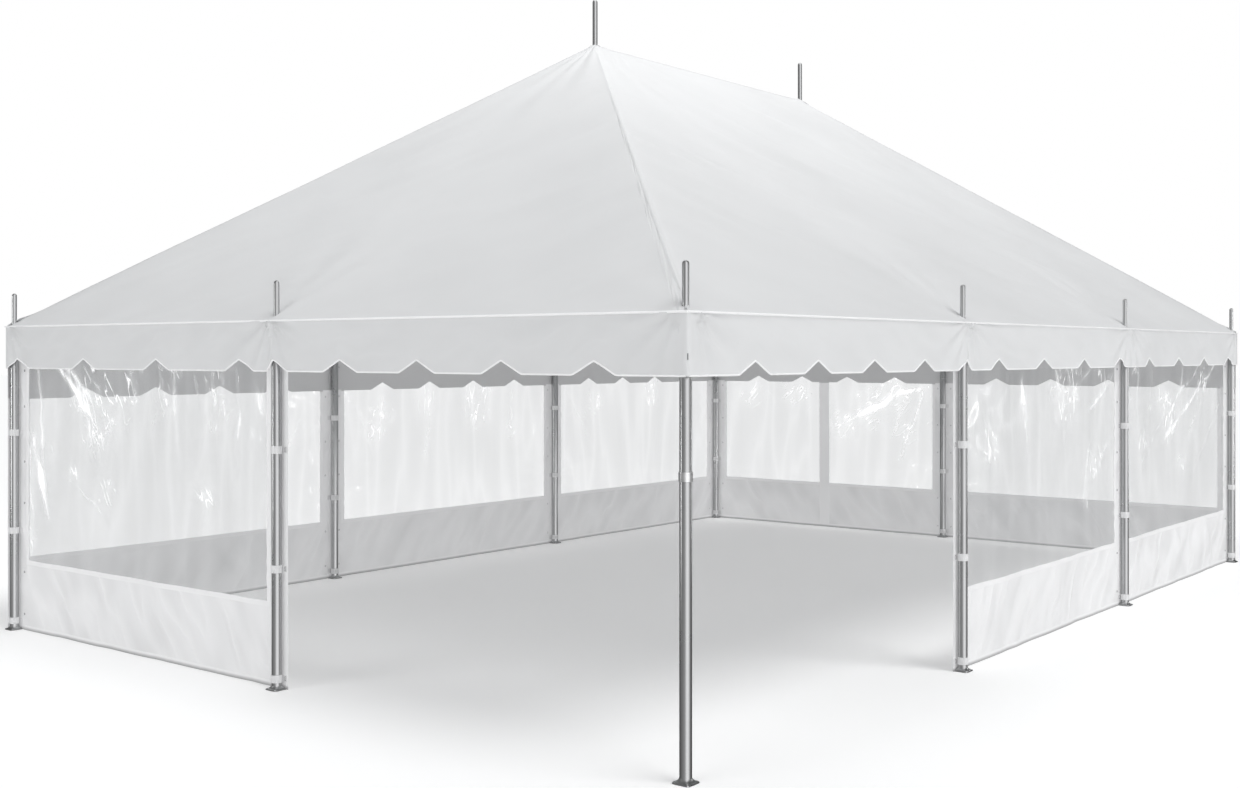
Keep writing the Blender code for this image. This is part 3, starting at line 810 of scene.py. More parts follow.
def ring(half, z, roundness=1.0):
    """Points round a circle, or round a square with round corners where roundness is under 1."""
    points = []
    for index in range(RING_POINTS):
        angle = 2 * math.pi * (index + 0.5) / RING_POINTS
        x, y = math.cos(angle), math.sin(angle)
        sharpness = 2 / roundness
        size = half / (abs(x) ** sharpness + abs(y) ** sharpness) ** (1 / sharpness)
        points.append((x * size, y * size, z))
    return points


def loft_rings(bm, rings, place):
    """Join rings of points into a closed skin with a flat face at each end."""
    x, y = place
    layers = [[bm.verts.new((x + a, y + b, z)) for a, b, z in points] for points in rings]
    for lower, upper in zip(layers, layers[1:]):
        for index, vert in enumerate(lower):
            after = (index + 1) % len(lower)
            bm.faces.new((vert, lower[after], upper[after], upper[index]))
    bm.faces.new(list(reversed(layers[0])))
    bm.faces.new(layers[-1])


def spigot_dome(radius, top):
    """Rings for the round top of a spigot, from just above its straight part."""
    angles = [math.pi / 2 * step / 6 for step in range(1, 6)]
    dome = [ring(radius * math.cos(angle), top - radius + radius * math.sin(angle)) for angle in angles]
    return dome + [ring(0.001, top)]


def leg_mesh(name, place):
    """The plate, the boot, and the tube with its head and spigot, as three closed skins."""
    bm = bmesh.new()
    inner = PLATE_HALF - PLATE_EDGE
    plate = [(inner, 0.0), (PLATE_HALF, PLATE_EDGE), (PLATE_HALF, PLATE_THICKNESS - PLATE_EDGE),
             (inner, PLATE_THICKNESS)]
    loft_rings(bm, [ring(half, z, 0.22) for half, z in plate], place)
    boot_low = PLATE_THICKNESS + 0.002
    boot = [ring(BOOT_HALF, PLATE_THICKNESS - 0.001, 0.16), ring(BOOT_HALF, boot_low, 0.16)]
    for step in range(1, 7):
        share = step / 6
        half = BOOT_HALF + (TUBE_RADIUS + 0.0015 - BOOT_HALF) * share ** 0.7
        boot.append(ring(half, boot_low + (BOOT_TOP - boot_low) * share ** 1.3, 0.16 + 0.84 * share))
    loft_rings(bm, boot + [ring(TUBE_RADIUS + 0.0004, BOOT_TOP + 0.002)], place)
    tube = [(TUBE_RADIUS, PLATE_THICKNESS), (TUBE_RADIUS, HEAD_Z - 0.003),
            (TUBE_RADIUS - 0.0009, HEAD_Z - 0.0009), (TUBE_RADIUS - 0.003, HEAD_Z),
            (SPIGOT_RADIUS, HEAD_Z), (SPIGOT_RADIUS, SPIGOT_TOP - SPIGOT_RADIUS)]
    loft_rings(bm, [ring(radius, z) for radius, z in tube] + spigot_dome(SPIGOT_RADIUS, SPIGOT_TOP), place)
    return bm_mesh(name, bm, TURNED_SHARP)


for label, place in LEG_PLACES.items():
    add_piece(f"leg_{label}_steel", leg_mesh(label, place), LEG_STEEL, "leg_tube", "leg_" + label)
print("Legs:", len(LEG_PLACES))

# %% [markdown]
# ## Clamps
#
# White plastic bands hold the walls to the legs at three heights. A band is a ring with raised
# ribs, so one tree makes it from two swept curves: a broad flat profile and thin beads. Flat ears
# lie against the wall, one with two rivets and the other with a hook. The near corner leg has no
# wall, and a single metal band.

# %% The tree for clamp bands
band_tree, band_in = start_tree("clamp_bands", {
    "Radius": ("Float", 0.032), "Wall": ("Float", 0.0036), "Height": ("Float", 0.046),
    "Ribs": ("Int", 4), "Rib size": ("Float", 0.0011)})
band_profile = add_node(band_tree, "GeometryNodeCurvePrimitiveQuadrilateral",
                        Width=band_in["Wall"], Height=band_in["Height"])
band_round = add_node(band_tree, "GeometryNodeFilletCurve", Curve=band_profile.outputs[0], Radius=0.0014)
band_skin = sweep(band_tree, circle(band_tree, 48, band_in["Radius"]), band_round.outputs[0])
rib_radius = math_node(band_tree, "ADD", band_in["Radius"], product(band_tree, band_in["Wall"], 0.5))
rib_skin = sweep(band_tree, circle(band_tree, 48, rib_radius), circle(band_tree, 6, band_in["Rib size"]))
rib_gap = math_node(band_tree, "DIVIDE", band_in["Height"], band_in["Ribs"])
rib_start = math_node(band_tree, "MULTIPLY_ADD", band_in["Height"], -0.5, product(band_tree, rib_gap, 0.5))
rib_low = add_node(band_tree, "ShaderNodeCombineXYZ", Z=rib_start)
rib_step = add_node(band_tree, "ShaderNodeCombineXYZ", Z=rib_gap)
rib_points = add_node(band_tree, "GeometryNodeMeshLine", Count=band_in["Ribs"], **{
    "Start Location": rib_low.outputs[0], "Offset": rib_step.outputs[0]})
rib_set = add_node(band_tree, "GeometryNodeInstanceOnPoints", Points=rib_points.outputs[0], Instance=rib_skin)
one_clamp = add_node(band_tree, "GeometryNodeJoinGeometry")
for part in (band_skin, rib_set.outputs[0]):
    band_tree.links.new(part, one_clamp.inputs[0])
all_clamps = add_node(band_tree, "GeometryNodeInstanceOnPoints", Points=band_in["Geometry"],
                      Instance=smoothed(band_tree, one_clamp.outputs[0]))
end_tree(band_tree, band_in, all_clamps.outputs[0])

# %% Ears, rivets and hooks
CLAMP_HEIGHTS = (0.066, 0.72, 1.43)
EAR_NEAR = 0.0295
EAR_THICKNESS = 0.0042
EAR_REACH = 0.056
EAR_HALF_HEIGHT = 0.019
EAR_BEVEL = 0.0012
CORNER_EARS = {"front_left": [], "front_right": ["x-", "y+"], "back_left": ["x+", "y-"],
               "back_right": ["x-", "y-"]}


def ear_ways(label):
    """The ears of a leg's clamps as pairs of a letter, x or y, and a sign."""
    plain = ["y-", "y+"] if "middle" in label else ["x-", "x+"]
    return [(way[0], -1 if way[1] == "-" else 1) for way in CORNER_EARS.get(label, plain)]


def add_block(bm, low, high, bevel):
    """A box with bevelled edges."""
    made = bmesh.ops.create_cube(bm, size=1.0)["verts"]
    for vert in made:
        vert.co = Vector([a + (b - a) * (c + 0.5) for a, b, c in zip(low, high, vert.co)])
    edges = list({edge for vert in made for edge in vert.link_edges})
    bmesh.ops.bevel(bm, geom=edges, offset=bevel, segments=2, affect="EDGES", profile=0.5)


def beside_leg(place, axis, along, across, z):
    """A point on the leg at a place, given along the wall that runs on an axis, and across it."""
    x, y = place
    return Vector((x + along, y + across, z) if axis == "x" else (x + across, y + along, z))


ear_bm = bmesh.new()
rivet_places, hook_paths = [], []
for label, place in LEG_PLACES.items():
    outward = -1 if label.startswith(("front", "left")) else 1
    face = EAR_NEAR if outward < 0 else EAR_NEAR + EAR_THICKNESS
    for z in CLAMP_HEIGHTS:
        for axis, sign in ear_ways(label):
            near, far = sorted((0.0, sign * EAR_REACH))
            low = beside_leg(place, axis, near, EAR_NEAR, z - EAR_HALF_HEIGHT)
            high = beside_leg(place, axis, far, EAR_NEAR + EAR_THICKNESS, z + EAR_HALF_HEIGHT)
            add_block(ear_bm, low, high, EAR_BEVEL)
            tip = sign * (EAR_REACH - 0.010)
            if sign > 0:
                way = (0.0, outward, 0.0) if axis == "x" else (outward, 0.0, 0.0)
                rivet_places += [(beside_leg(place, axis, tip, face, z + rise), way)
                                 for rise in (-0.010, 0.010)]
            else:
                raised = face + outward * 0.005
                hook = [(tip, face, z + 0.012), (tip, raised, z + 0.012),
                        (tip + sign * 0.004, face + outward * 0.007, z), (tip, raised, z - 0.012),
                        (tip, face, z - 0.012)]
                hook_paths.append([beside_leg(place, axis, *point) for point in hook])

# %% Bands and the other clamp pieces
band_places = [(*place, z) for label, place in LEG_PLACES.items() if label != "front_left"
               for z in CLAMP_HEIGHTS]
corner_place = [(*LEG_PLACES["front_left"], CLAMP_HEIGHTS[-1])]
grow(band_tree, wire_mesh("corner_place", corner_place), "corner_band", ROOF_METAL, "clamp_band", Ribs=2)
grow(band_tree, wire_mesh("clamp_places", band_places), "clamp_bands", CLAMP_PLASTIC, "clamp_band")
add_piece("clamp_ears", bm_mesh("clamp_ears", ear_bm), CLAMP_PLASTIC, "clamp_band")
grow(rivet_tree, facing_points("rivet_places", rivet_places), "clamp_rivets", SMALL_STEEL, "eyelet",
     Radius=0.0032)
grow(tube_tree, path_mesh("hooks", hook_paths), "clamp_hooks", SMALL_STEEL, "eyelet", Radius=0.0017, Sides=8)
print("Clamp bands:", len(band_places), "rivets:", len(rivet_places), "hooks:", len(hook_paths))

# %% [markdown]
# ## Roof frame
#
# Inside, eave rails tie the leg heads, hip rafters rise to a crown under each peak, and a ridge
# tube joins the two crowns. A tube along a path is the simplest job for Geometry Nodes: the path
# is two points, and the profile is a circle.

# %% Rails, rafters and ridge
RAFTER_RADIUS = 0.024


def add_roof_tube(node, first, last, radius):
    grow(tube_tree, path_mesh(node, [[first, last]]), node + "_aluminium", ROOF_METAL, "roof_tube", node,
         Radius=radius, Sides=32)


for node in ("eave_rail_front", "eave_rail_back", "eave_rail_left", "eave_rail_right", "ridge_tube"):
    low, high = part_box(node)
    size = high - low
    axis = max(range(3), key=lambda index: size[index])
    first, last = (low + high) / 2, (low + high) / 2
    first[axis], last[axis] = low[axis], high[axis]
    add_roof_tube(node, first, last, min(size) / 2)

for row, side_y in (("front", -1), ("back", 1)):
    for side, side_x in (("left", -1), ("right", 1)):
        node = f"hip_rafter_{row}_{side}"
        low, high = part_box(node)
        inset = RAFTER_RADIUS / math.sqrt(2)
        lift = RAFTER_RADIUS * math.hypot(1, SLOPE / math.sqrt(2))
        foot = Vector((low.x + inset, low.y + inset, low.z + lift))
        head = Vector((high.x - inset, high.y - inset, high.z - lift))
        if side_x > 0:
            foot.x, head.x = head.x, foot.x
        if side_y > 0:
            foot.y, head.y = head.y, foot.y
        add_roof_tube(node, foot, head, RAFTER_RADIUS)

# %% Crowns with their spigots
CROWN_HEIGHT = 0.14
PEAK_SPIGOT = 0.019

for side, sign in (("left", -1), ("right", 1)):
    node = "crown_" + side
    low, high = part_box(node)
    outer = (high.x - low.x) / 2
    hub_top = low.z + CROWN_HEIGHT
    profile = [(outer - 0.004, low.z), (outer, low.z + 0.004), (outer, low.z + 0.03),
               (outer - 0.002, low.z + 0.032), (outer - 0.002, hub_top - 0.032),
               (outer, hub_top - 0.03), (outer, hub_top - 0.002), (outer - 0.002, hub_top),
               (PEAK_SPIGOT + 0.004, hub_top), (PEAK_SPIGOT, hub_top + 0.004),
               (PEAK_SPIGOT, high.z - PEAK_SPIGOT)]
    bm = bmesh.new()
    loft_rings(bm, [ring(radius, z) for radius, z in profile] + spigot_dome(PEAK_SPIGOT, high.z),
               (sign * PEAK_X, 0.0))
    add_piece(node + "_steel", bm_mesh(node + "_steel", bm, TURNED_SHARP), LEG_STEEL, "roof_tube", node)
print("Roof frame done")

# %% [markdown]
# ## Canopy
#
# The canopy is one skin. Rings of points run round it from the eaves to the ridge, so the quads
# follow the cloth and the hips and ridge fall on edges. It is pulled tight over the frame: it
# sags a little between hips and eaves, is pushed up where the spigots come through, and creases
# fan out from every pole.

# %% Shape of the canopy
CLOTH_THICKNESS = 0.0012
SAG = 0.030
ROW_STEP = 0.075
CLOSE_ROWS = 0.12
SHORT_STEPS = 84
LONG_STEPS = 120
MERGE_DISTANCE = 0.00005
ALONG_SLOPE = math.hypot(1, SLOPE)


def spigot_lift(x, y):
    """The small cone that each spigot pushes up, and the creases that run out from it."""
    lift = np.zeros_like(x)
    for index, (px, py) in enumerate(LEG_PLACES.values()):
        lift += fan(x - px, y - py, 10, 0.50, 0.015, 1.3 * index)
        lift += 0.004 * np.exp(-((x - px) ** 2 + (y - py) ** 2) / 0.05 ** 2)
    for px in (-PEAK_X, PEAK_X):
        lift += fan(x - px, y, 14, 0.9, 0.006, px)
        lift += 0.022 * np.exp(-np.hypot(x - px, y) / 0.045)
    return lift


def canopy_height(x, y):
    """Height of the cloth's middle over plan positions."""
    out_y = np.abs(y)
    out_x = np.abs(x) - PEAK_X
    out = np.maximum(out_y, np.maximum(out_x, 0.0))
    share = out / EDGE_Y
    off_hips = ease(np.abs(out_y - out_x) / EDGE_Y, 0.0, 0.35)
    sag = SAG * 4 * share * (1 - share) * off_hips
    loose = 0.005 * hills(x * 0.9 + 0.4 * y, y * 1.3, 3.0) + 0.0025 * hills(x * 2.6, y * 3.1, 5.0)
    edge_hold = ease(EDGE_Y - out, 0.0, 0.25) * ease(out, 0.0, 0.15)
    lifted = spigot_lift(x, y) * ease(EDGE_Y - out, -0.05, 0.04)
    return PEAK_Z - SLOPE * out - sag + loose * edge_hold + lifted


def canopy_mesh():
    """Rings of quads from the eaves up to the ridge, where the two long sides meet."""
    long_way, short_way = (np.linspace(-1.0, 1.0, steps + 1)[:-1] for steps in (LONG_STEPS, SHORT_STEPS))
    long_edge, short_edge = np.ones(LONG_STEPS), np.ones(SHORT_STEPS)
    x_share = np.concatenate([long_way, short_edge, -long_way, -short_edge])
    y_share = np.concatenate([-long_edge, short_way, long_edge, -short_way])
    on_long = np.repeat([True, False, True, False], [LONG_STEPS, SHORT_STEPS] * 2)
    rows = [*even_steps(0.0, EDGE_Y - CLOSE_ROWS, ROW_STEP),
            *np.linspace(EDGE_Y - CLOSE_ROWS, EDGE_Y, 7)[1:]]
    points, flat = [], []
    for inward in rows:
        x = x_share * (EDGE_X - inward * (EDGE_X - PEAK_X) / EDGE_Y)
        y = y_share * (EDGE_Y - inward)
        points.append(np.stack([x, y, canopy_height(x, y)], axis=1))
        flat.append(np.stack([np.where(on_long, x, y), np.full(len(x), inward * ALONG_SLOPE)], axis=1))
    count = len(x_share)
    row, index = np.meshgrid(np.arange(len(rows) - 1), np.arange(count), indexing="ij")
    low, after = (row * count).ravel(), ((index + 1) % count).ravel()
    index, high = index.ravel(), low + count
    quads = np.stack([low + index, low + after, high + after, high + index], axis=1)
    mesh = quads_mesh("canopy_cloth", np.concatenate(points), quads, np.concatenate(flat))
    bm = bmesh.new()
    bm.from_mesh(mesh)
    bmesh.ops.remove_doubles(bm, verts=bm.verts, dist=MERGE_DISTANCE)
    bmesh.ops.dissolve_degenerate(bm, edges=bm.edges, dist=MERGE_DISTANCE)
    bm.to_mesh(mesh)
    bm.free()
    mesh.shade_smooth()
    return thicken(mesh, CLOTH_THICKNESS)


canopy = add_piece("canopy", canopy_mesh(), CANOPY_CLOTH, "canopy_cloth",
                   "canopy_front", "canopy_back", "canopy_left", "canopy_right")
print("Canopy faces:", len(canopy.data.polygons))

# %% [markdown]
# The slopes are joined by welded bands along the hips and the ridge. A band follows the cloth's
# height formula a little above it, so its edges catch the light as a fine line, as on the real
# seams.

# %% Bands over the hips and the ridge
SEAM_WIDTH = 0.022
SEAM_THICKNESS = 0.0016
CORNERS = [(sign_x, sign_y) for sign_x in (-1, 1) for sign_y in (-1, 1)]


def roof_band(start, end):
    """A narrow sheet on the canopy between two plan positions."""
    (x0, y0), (x1, y1) = start, end
    length = math.hypot(x1 - x0, y1 - y0)
    run_x, run_y = (x1 - x0) / length, (y1 - y0) / length

    def place(u, v):
        x = x0 + run_x * v + run_y * u
        y = y0 + run_y * v - run_x * u
        return x, y, canopy_height(x, y) + SEAM_THICKNESS

    columns = np.linspace(-SEAM_WIDTH / 2, SEAM_WIDTH / 2, 7)
    return grid_sheet(columns, even_steps(0.0, length, 0.03), place, flip=True)


seams = [roof_band((-PEAK_X + 0.03, 0.0), (PEAK_X - 0.03, 0.0))]
seams += [roof_band((sign_x * (EDGE_X - 0.012), sign_y * (EDGE_Y - 0.012)),
                    (sign_x * (PEAK_X + 0.02), sign_y * 0.02)) for sign_x, sign_y in CORNERS]
add_piece("canopy_seams", sheets_mesh("canopy_seams", seams, SEAM_THICKNESS), CANOPY_CLOTH, "canopy_cloth")
print("Roof bands:", len(seams))

# %% [markdown]
# ## Valance
#
# A strip hangs from the eaves on each side, with pointed notches in its lower edge. The notches
# beside the open bays are closer together, and a part notch shows where one strip laps over the
# next. The outline is a formula, so one function gives the cloth, its bead and its tension
# creases the same lower edge.

# %% Notches of each side
NOTCH_HEIGHT = 0.070
NOTCH_FLANK = 0.14
JOINT_NOTCH = (-0.02, 0.12, 0.065)
OPEN_PITCH = 0.62
JOINT_X = -HALF_LONG + BAY


def four_notches(first, pitch):
    """Four even notches: the middle of each, and the lengths of its two flanks."""
    return [(first + pitch * index, NOTCH_FLANK, NOTCH_FLANK) for index in range(4)]


def walled_notches(start, bays, first, pitch):
    return [notch for bay in range(bays) for notch in four_notches(start + BAY * bay + first, pitch)]


def open_notches(joint):
    """Closer notches over an open bay, and the part notch at its joint with the next strip."""
    shift, low_flank, high_flank = JOINT_NOTCH
    whole = [(joint - OPEN_PITCH * (index + 1), NOTCH_FLANK, NOTCH_FLANK) for index in range(4)]
    return whole + [(joint + shift, low_flank, high_flank)]


NOTCHES = {
    "front": open_notches(JOINT_X) + walled_notches(JOINT_X, 2, 0.46, 0.765),
    "back": walled_notches(-HALF_LONG, 3, 0.375, 0.75),
    "left": open_notches(0.0) + walled_notches(0.0, 1, 0.30, 0.86),
    "right": walled_notches(-HALF_SHORT, 2, 0.375, 0.75),
}
LONG_LEGS = [-HALF_LONG, JOINT_X, HALF_LONG - BAY, HALF_LONG]
SHORT_LEGS = [-HALF_SHORT, 0.0, HALF_SHORT]
SIDE_LEGS = {"front": LONG_LEGS, "back": LONG_LEGS, "left": SHORT_LEGS, "right": SHORT_LEGS}

# %% Shape of the valance
VALANCE_FACE = 0.0435
VALANCE_TOP = EAVE_Z - 0.002
VALANCE_STEP = 0.022
VALANCE_ROWS = 14
VALANCE_SEEDS = {"front": 1.0, "back": 2.0, "left": 3.0, "right": 4.0}
CORNER_ROUND = 0.012
# How far a fold may reach inward before it meets the legs or, at the back and right, the walls
INWARD_ROOM = {"front": 0.008, "left": 0.008, "back": 0.003, "right": 0.003}


def on_long_side(side):
    return side in ("front", "back")


def valance_end(side):
    """How far a strip reaches from the middle of its side, to where the corner starts to turn."""
    return (HALF_LONG if on_long_side(side) else HALF_SHORT) + VALANCE_FACE - CORNER_ROUND


def notch_rise(along, notches):
    """How far notches raise an edge, with slightly rounded points."""
    smear = 0.006
    total = np.zeros_like(along)
    for shift in (-smear, 0.0, smear):
        raised = np.zeros_like(along)
        for centre, low_flank, high_flank in notches:
            offset = along + shift - centre
            flank = np.where(offset < 0, low_flank, high_flank)
            raised = np.maximum(raised, NOTCH_HEIGHT * (1 - np.abs(offset) / flank))
        total += raised
    return total / 3


def valance_bulge(along, drop, side):
    """How far the strip stands out from its plane. drop is the distance below the eave."""
    seed = VALANCE_SEEDS[side]
    loose = ease(drop, 0.0, 0.3)
    bulge = 0.009 * loose * hills(along * 1.7, drop * 2.0, seed)
    bulge += 0.004 * loose * hills(along * 5.0, drop * 4.0, seed + 9)
    for index, leg in enumerate(SIDE_LEGS[side]):
        bulge += fan(along - leg, drop + 0.02, 13, 0.32, 0.016, index + seed)
    room = INWARD_ROOM[side]
    bulge = np.maximum(bulge, 0.0) - room * np.tanh(np.maximum(-bulge, 0.0) / room)
    end = valance_end(side)
    return bulge * ease(-np.abs(along), -end, -end + 0.06)


def valance_point(side, along, down, offset=0.0):
    """A point on a valance. down is a share of the way to its lower edge, and offset moves it
    outward, for a strip that lies on the cloth."""
    bottom = VALANCE_BOTTOM + notch_rise(along, NOTCHES[side])
    z = VALANCE_TOP - down * (VALANCE_TOP - bottom)
    outward = VALANCE_FACE + offset + valance_bulge(along, EAVE_Z - z, side)
    sign = -1 if side in ("front", "left") else 1
    if on_long_side(side):
        return along, sign * (HALF_SHORT + outward), z
    return sign * (HALF_LONG + outward), along, z


def valance_sheet(side, columns, offset=0.0):
    rows = np.linspace(0.0, 1.0, VALANCE_ROWS + 1)
    return grid_sheet(columns, rows, lambda u, v: valance_point(side, u, v, offset),
                      flip=side in ("front", "right"))


def with_corners(columns, notches):
    """Add the corners of the notches to a list of positions."""
    corners = [point for centre, low, high in notches for point in (centre - low, centre, centre + high)]
    inside = [corner for corner in corners if columns[0] < corner < columns[-1]]
    return np.unique(np.round(np.concatenate([columns, inside]), 4))


# %% Valance cloth and its hem
bead_paths, valance_areas = [], {}
for side, notches in NOTCHES.items():
    end = valance_end(side)
    columns = with_corners(even_steps(-end, end, VALANCE_STEP), notches)
    cloth = sheets_mesh("valance_" + side, [valance_sheet(side, columns)], CLOTH_THICKNESS)
    add_piece(f"valance_{side}_cloth", cloth, VALANCE_CLOTH, "valance_cloth", "valance_" + side)
    bead_paths.append(list(zip(*valance_point(side, columns, np.ones_like(columns)))))
    depth = EAVE_Z - VALANCE_BOTTOM - notch_rise(columns, notches)
    valance_areas[side] = float(np.sum((depth[1:] + depth[:-1]) / 2 * np.diff(columns)))

grow(tube_tree, path_mesh("valance_hems", bead_paths), "valance_hems", BEAD_CLOTH, "valance_cloth",
     Radius=0.0048, Sides=8)
print("Valance areas:", {side: round(area, 2) for side, area in valance_areas.items()})

# %% Overlap strips, corner strips and the toggle
STRIP_WIDTH = 0.045
STRIP_THICKNESS = 0.0022
STRIP_LIFT = 0.0016
CORNER_LAP = 0.012
TOGGLE_Z = (1.975, 2.005)
TOGGLE_RADIUS = 0.003


def corner_sheet(sign_x, sign_y):
    """A strip that wraps a corner: a quarter round with a short flat on each side."""
    arc = CORNER_ROUND * math.pi / 2
    radius = CORNER_ROUND + 0.0014

    def place(u, v):
        angle = np.clip(u / arc, 0.0, 1.0) * math.pi / 2
        x = valance_end("front") + radius * np.cos(angle) - np.maximum(u - arc, 0.0)
        y = valance_end("left") + radius * np.sin(angle) - np.maximum(-u, 0.0)
        return sign_x * x, sign_y * y, v

    columns = np.concatenate([[-CORNER_LAP], np.linspace(0.0, arc, 9), [arc + CORNER_LAP]])
    rows = even_steps(VALANCE_BOTTOM - 0.002, VALANCE_TOP, 0.03)
    return grid_sheet(columns, rows, place, flip=sign_x * sign_y < 0)


strips = [valance_sheet(side, even_steps(leg, leg + STRIP_WIDTH, 0.009), STRIP_LIFT)
          for side, legs in SIDE_LEGS.items() for leg in legs[1:-1]]
strips += [corner_sheet(sign_x, sign_y) for sign_x, sign_y in CORNERS]
add_piece("valance_strips", sheets_mesh("valance_strips", strips, STRIP_THICKNESS), VALANCE_CLOTH,
          "valance_cloth")

toggle_out = VALANCE_FACE - CORNER_ROUND + (CORNER_ROUND + TOGGLE_RADIUS) / math.sqrt(2)
toggle_path = [(-HALF_LONG - toggle_out, -HALF_SHORT - toggle_out, z) for z in TOGGLE_Z]
grow(tube_tree, path_mesh("corner_toggle", [toggle_path]), "corner_toggle", SMALL_STEEL, "eyelet",
     Radius=TOGGLE_RADIUS, Sides=10)
print("Valance strips:", len(strips))

# %% Eave bead
EAVE_OUT = 0.0005
BEAD_Z = EAVE_Z - 0.001
long_steps, short_steps = (even_steps(-edge, edge, 0.05)[1:] for edge in (EDGE_X, EDGE_Y))
eave_loop = [(-EDGE_X, -EDGE_Y - EAVE_OUT, BEAD_Z)]
for sign in (-1, 1):
    eave_loop += [(-sign * along, sign * (EDGE_Y + EAVE_OUT), BEAD_Z) for along in long_steps]
    eave_loop += [(-sign * (EDGE_X + EAVE_OUT), -sign * along, BEAD_Z) for along in short_steps]
grow(tube_tree, path_mesh("eave_bead", [eave_loop]), "eave_bead", BEAD_CLOTH, "canopy_cloth",
     Radius=0.0058, Sides=10)

# %% [markdown]
# ## Walls
#
# Each wall is a white panel with a welded-in clear window. The panel hangs from the eaves and is
# held at the clamps, so folds spread from the clamps into the skirt, and the cloth lies still
# close to the legs. The back and right walls have a deep border over the window, notched like the
# valance. One formula moves the cloth, the weld bands and the film, so they stay together.

# %% Wall panels from the frame
WALL_LABELS = ("left", "front_1", "front_2", "right_1", "right_2", "back_3", "back_2", "back_1")
BORDER_WIDTH = 0.13
BORDER_PITCH = 0.60
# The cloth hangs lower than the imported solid, to just over the ground
WALL_DROP = 0.0195


def wall_facts(label):
    """Where a wall lies: its side, its ends, its plane and its window, from the frame."""
    low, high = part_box("wall_" + label)
    window_low, window_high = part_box("window_" + label)
    axis = 0 if label.startswith(("front", "back")) else 1
    inside = label.startswith(("front", "left"))
    bay_start = window_low[axis] - BORDER_WIDTH
    notches = [] if inside else four_notches(bay_start + BORDER_PITCH, BORDER_PITCH)
    window_top = window_high.z - (NOTCH_HEIGHT if notches else 0.0)
    return {
        "label": label,
        "axis": axis,
        "outward": -1 if inside else 1,
        "ends": (low[axis], high[axis]),
        "legs": (bay_start, window_high[axis] + BORDER_WIDTH),
        "plane": (low[1 - axis] + high[1 - axis]) / 2,
        "bottom": low.z - WALL_DROP,
        "top": high.z,
        "still_above": high.z - 0.03 if inside else VALANCE_BOTTOM - 0.02,
        "window": (window_low[axis], window_high[axis], window_low.z, window_top),
        "notches": notches,
        "seed": 10.0 + 3 * WALL_LABELS.index(label),
    }


def wall_swing(wall, along, z):
    """How far a wall stands out from its plane, along its outward way."""
    seed, (first_leg, last_leg) = wall["seed"], wall["legs"]
    off_legs = ease(along - first_leg, 0.05, 0.30) * ease(last_leg - along, 0.05, 0.30)
    below = ease(wall["still_above"] - z, 0.0, 0.45)
    swing = 0.012 * hills(along * 1.7 + 0.5 * z, z * 1.1, seed)
    skirt = ease(wall["window"][2] - z, -0.15, 0.20)
    swing += skirt * 0.026 * hills(along * 3.3 - 2.4 * z, z * 1.5, seed + 5)
    swing += skirt * 0.013 * hills(along * 7.0 + 4.0 * z, z * 3.0, seed + 6)
    for index, leg in enumerate(wall["legs"]):
        for height in CLAMP_HEIGHTS:
            swing += fan(along - leg, z - height, 9, 0.40, 0.010, seed + index + height)
    off_ground = 0.25 + 0.75 * ease(z - wall["bottom"], 0.0, 0.28)
    return swing * off_legs * below * off_ground


def wall_point(wall, along, z, offset):
    """A point on a wall. offset is its distance outward from the middle of the cloth."""
    across = wall["plane"] + wall["outward"] * (wall_swing(wall, along, z) + offset)
    if wall["notches"]:
        share = np.clip(1 - np.abs(z - wall["window"][3]) / 0.2, 0.0, 1.0)
        z = z + share * notch_rise(along, wall["notches"])
    return (along, across, z) if wall["axis"] == 0 else (across, along, z)


def wall_grid(wall, columns, rows, offset=lambda u, v: 0.0, keep=None):
    """A sheet on a wall over given columns and rows. offset gives its distance outward."""
    flip = (wall["axis"] == 0) == (wall["outward"] > 0)
    return grid_sheet(columns, rows, lambda u, v: wall_point(wall, u, v, offset(u, v)), keep, flip)


def wall_strip(wall, ends, heights, step, inward=0.0):
    """A plain strip on a wall between two ends and two heights."""
    columns = with_corners(even_steps(*ends, step), wall["notches"])
    return wall_grid(wall, columns, even_steps(*heights, step), lambda u, v: -inward)


def outside_window(wall, along, z):
    left, right, low, high = wall["window"]
    return ~((along > left) & (along < right) & (z > low) & (z < high))


def joined_steps(stops, step):
    """Positions through all the stops with nearly that step."""
    runs = [even_steps(low, high, step) for low, high in zip(stops, stops[1:])]
    return np.unique(np.round(np.concatenate(runs), 5))


# %% [markdown]
# Every panel has welded tape round its window and hems at its foot and ends. One wall of the right
# end also has an upright white band inside, over the middle of its window. At the back and right
# the faces of the border over the window take a darker copy of the wall cloth, a painted shade, as
# the border's inner face lies in shadow.

# %% Cloth of the walls
WALL_STEP = 0.026
WELD_WIDTH = 0.024
WELD_LAP = WELD_WIDTH * 0.35
WELD_STEP = 0.014
HEM_WIDTH = 0.035
HEM_STEP = 0.018
BAND_THICKNESS = 0.0032
UPRIGHT_HALF = 0.065
UPRIGHT_INWARD = 0.004

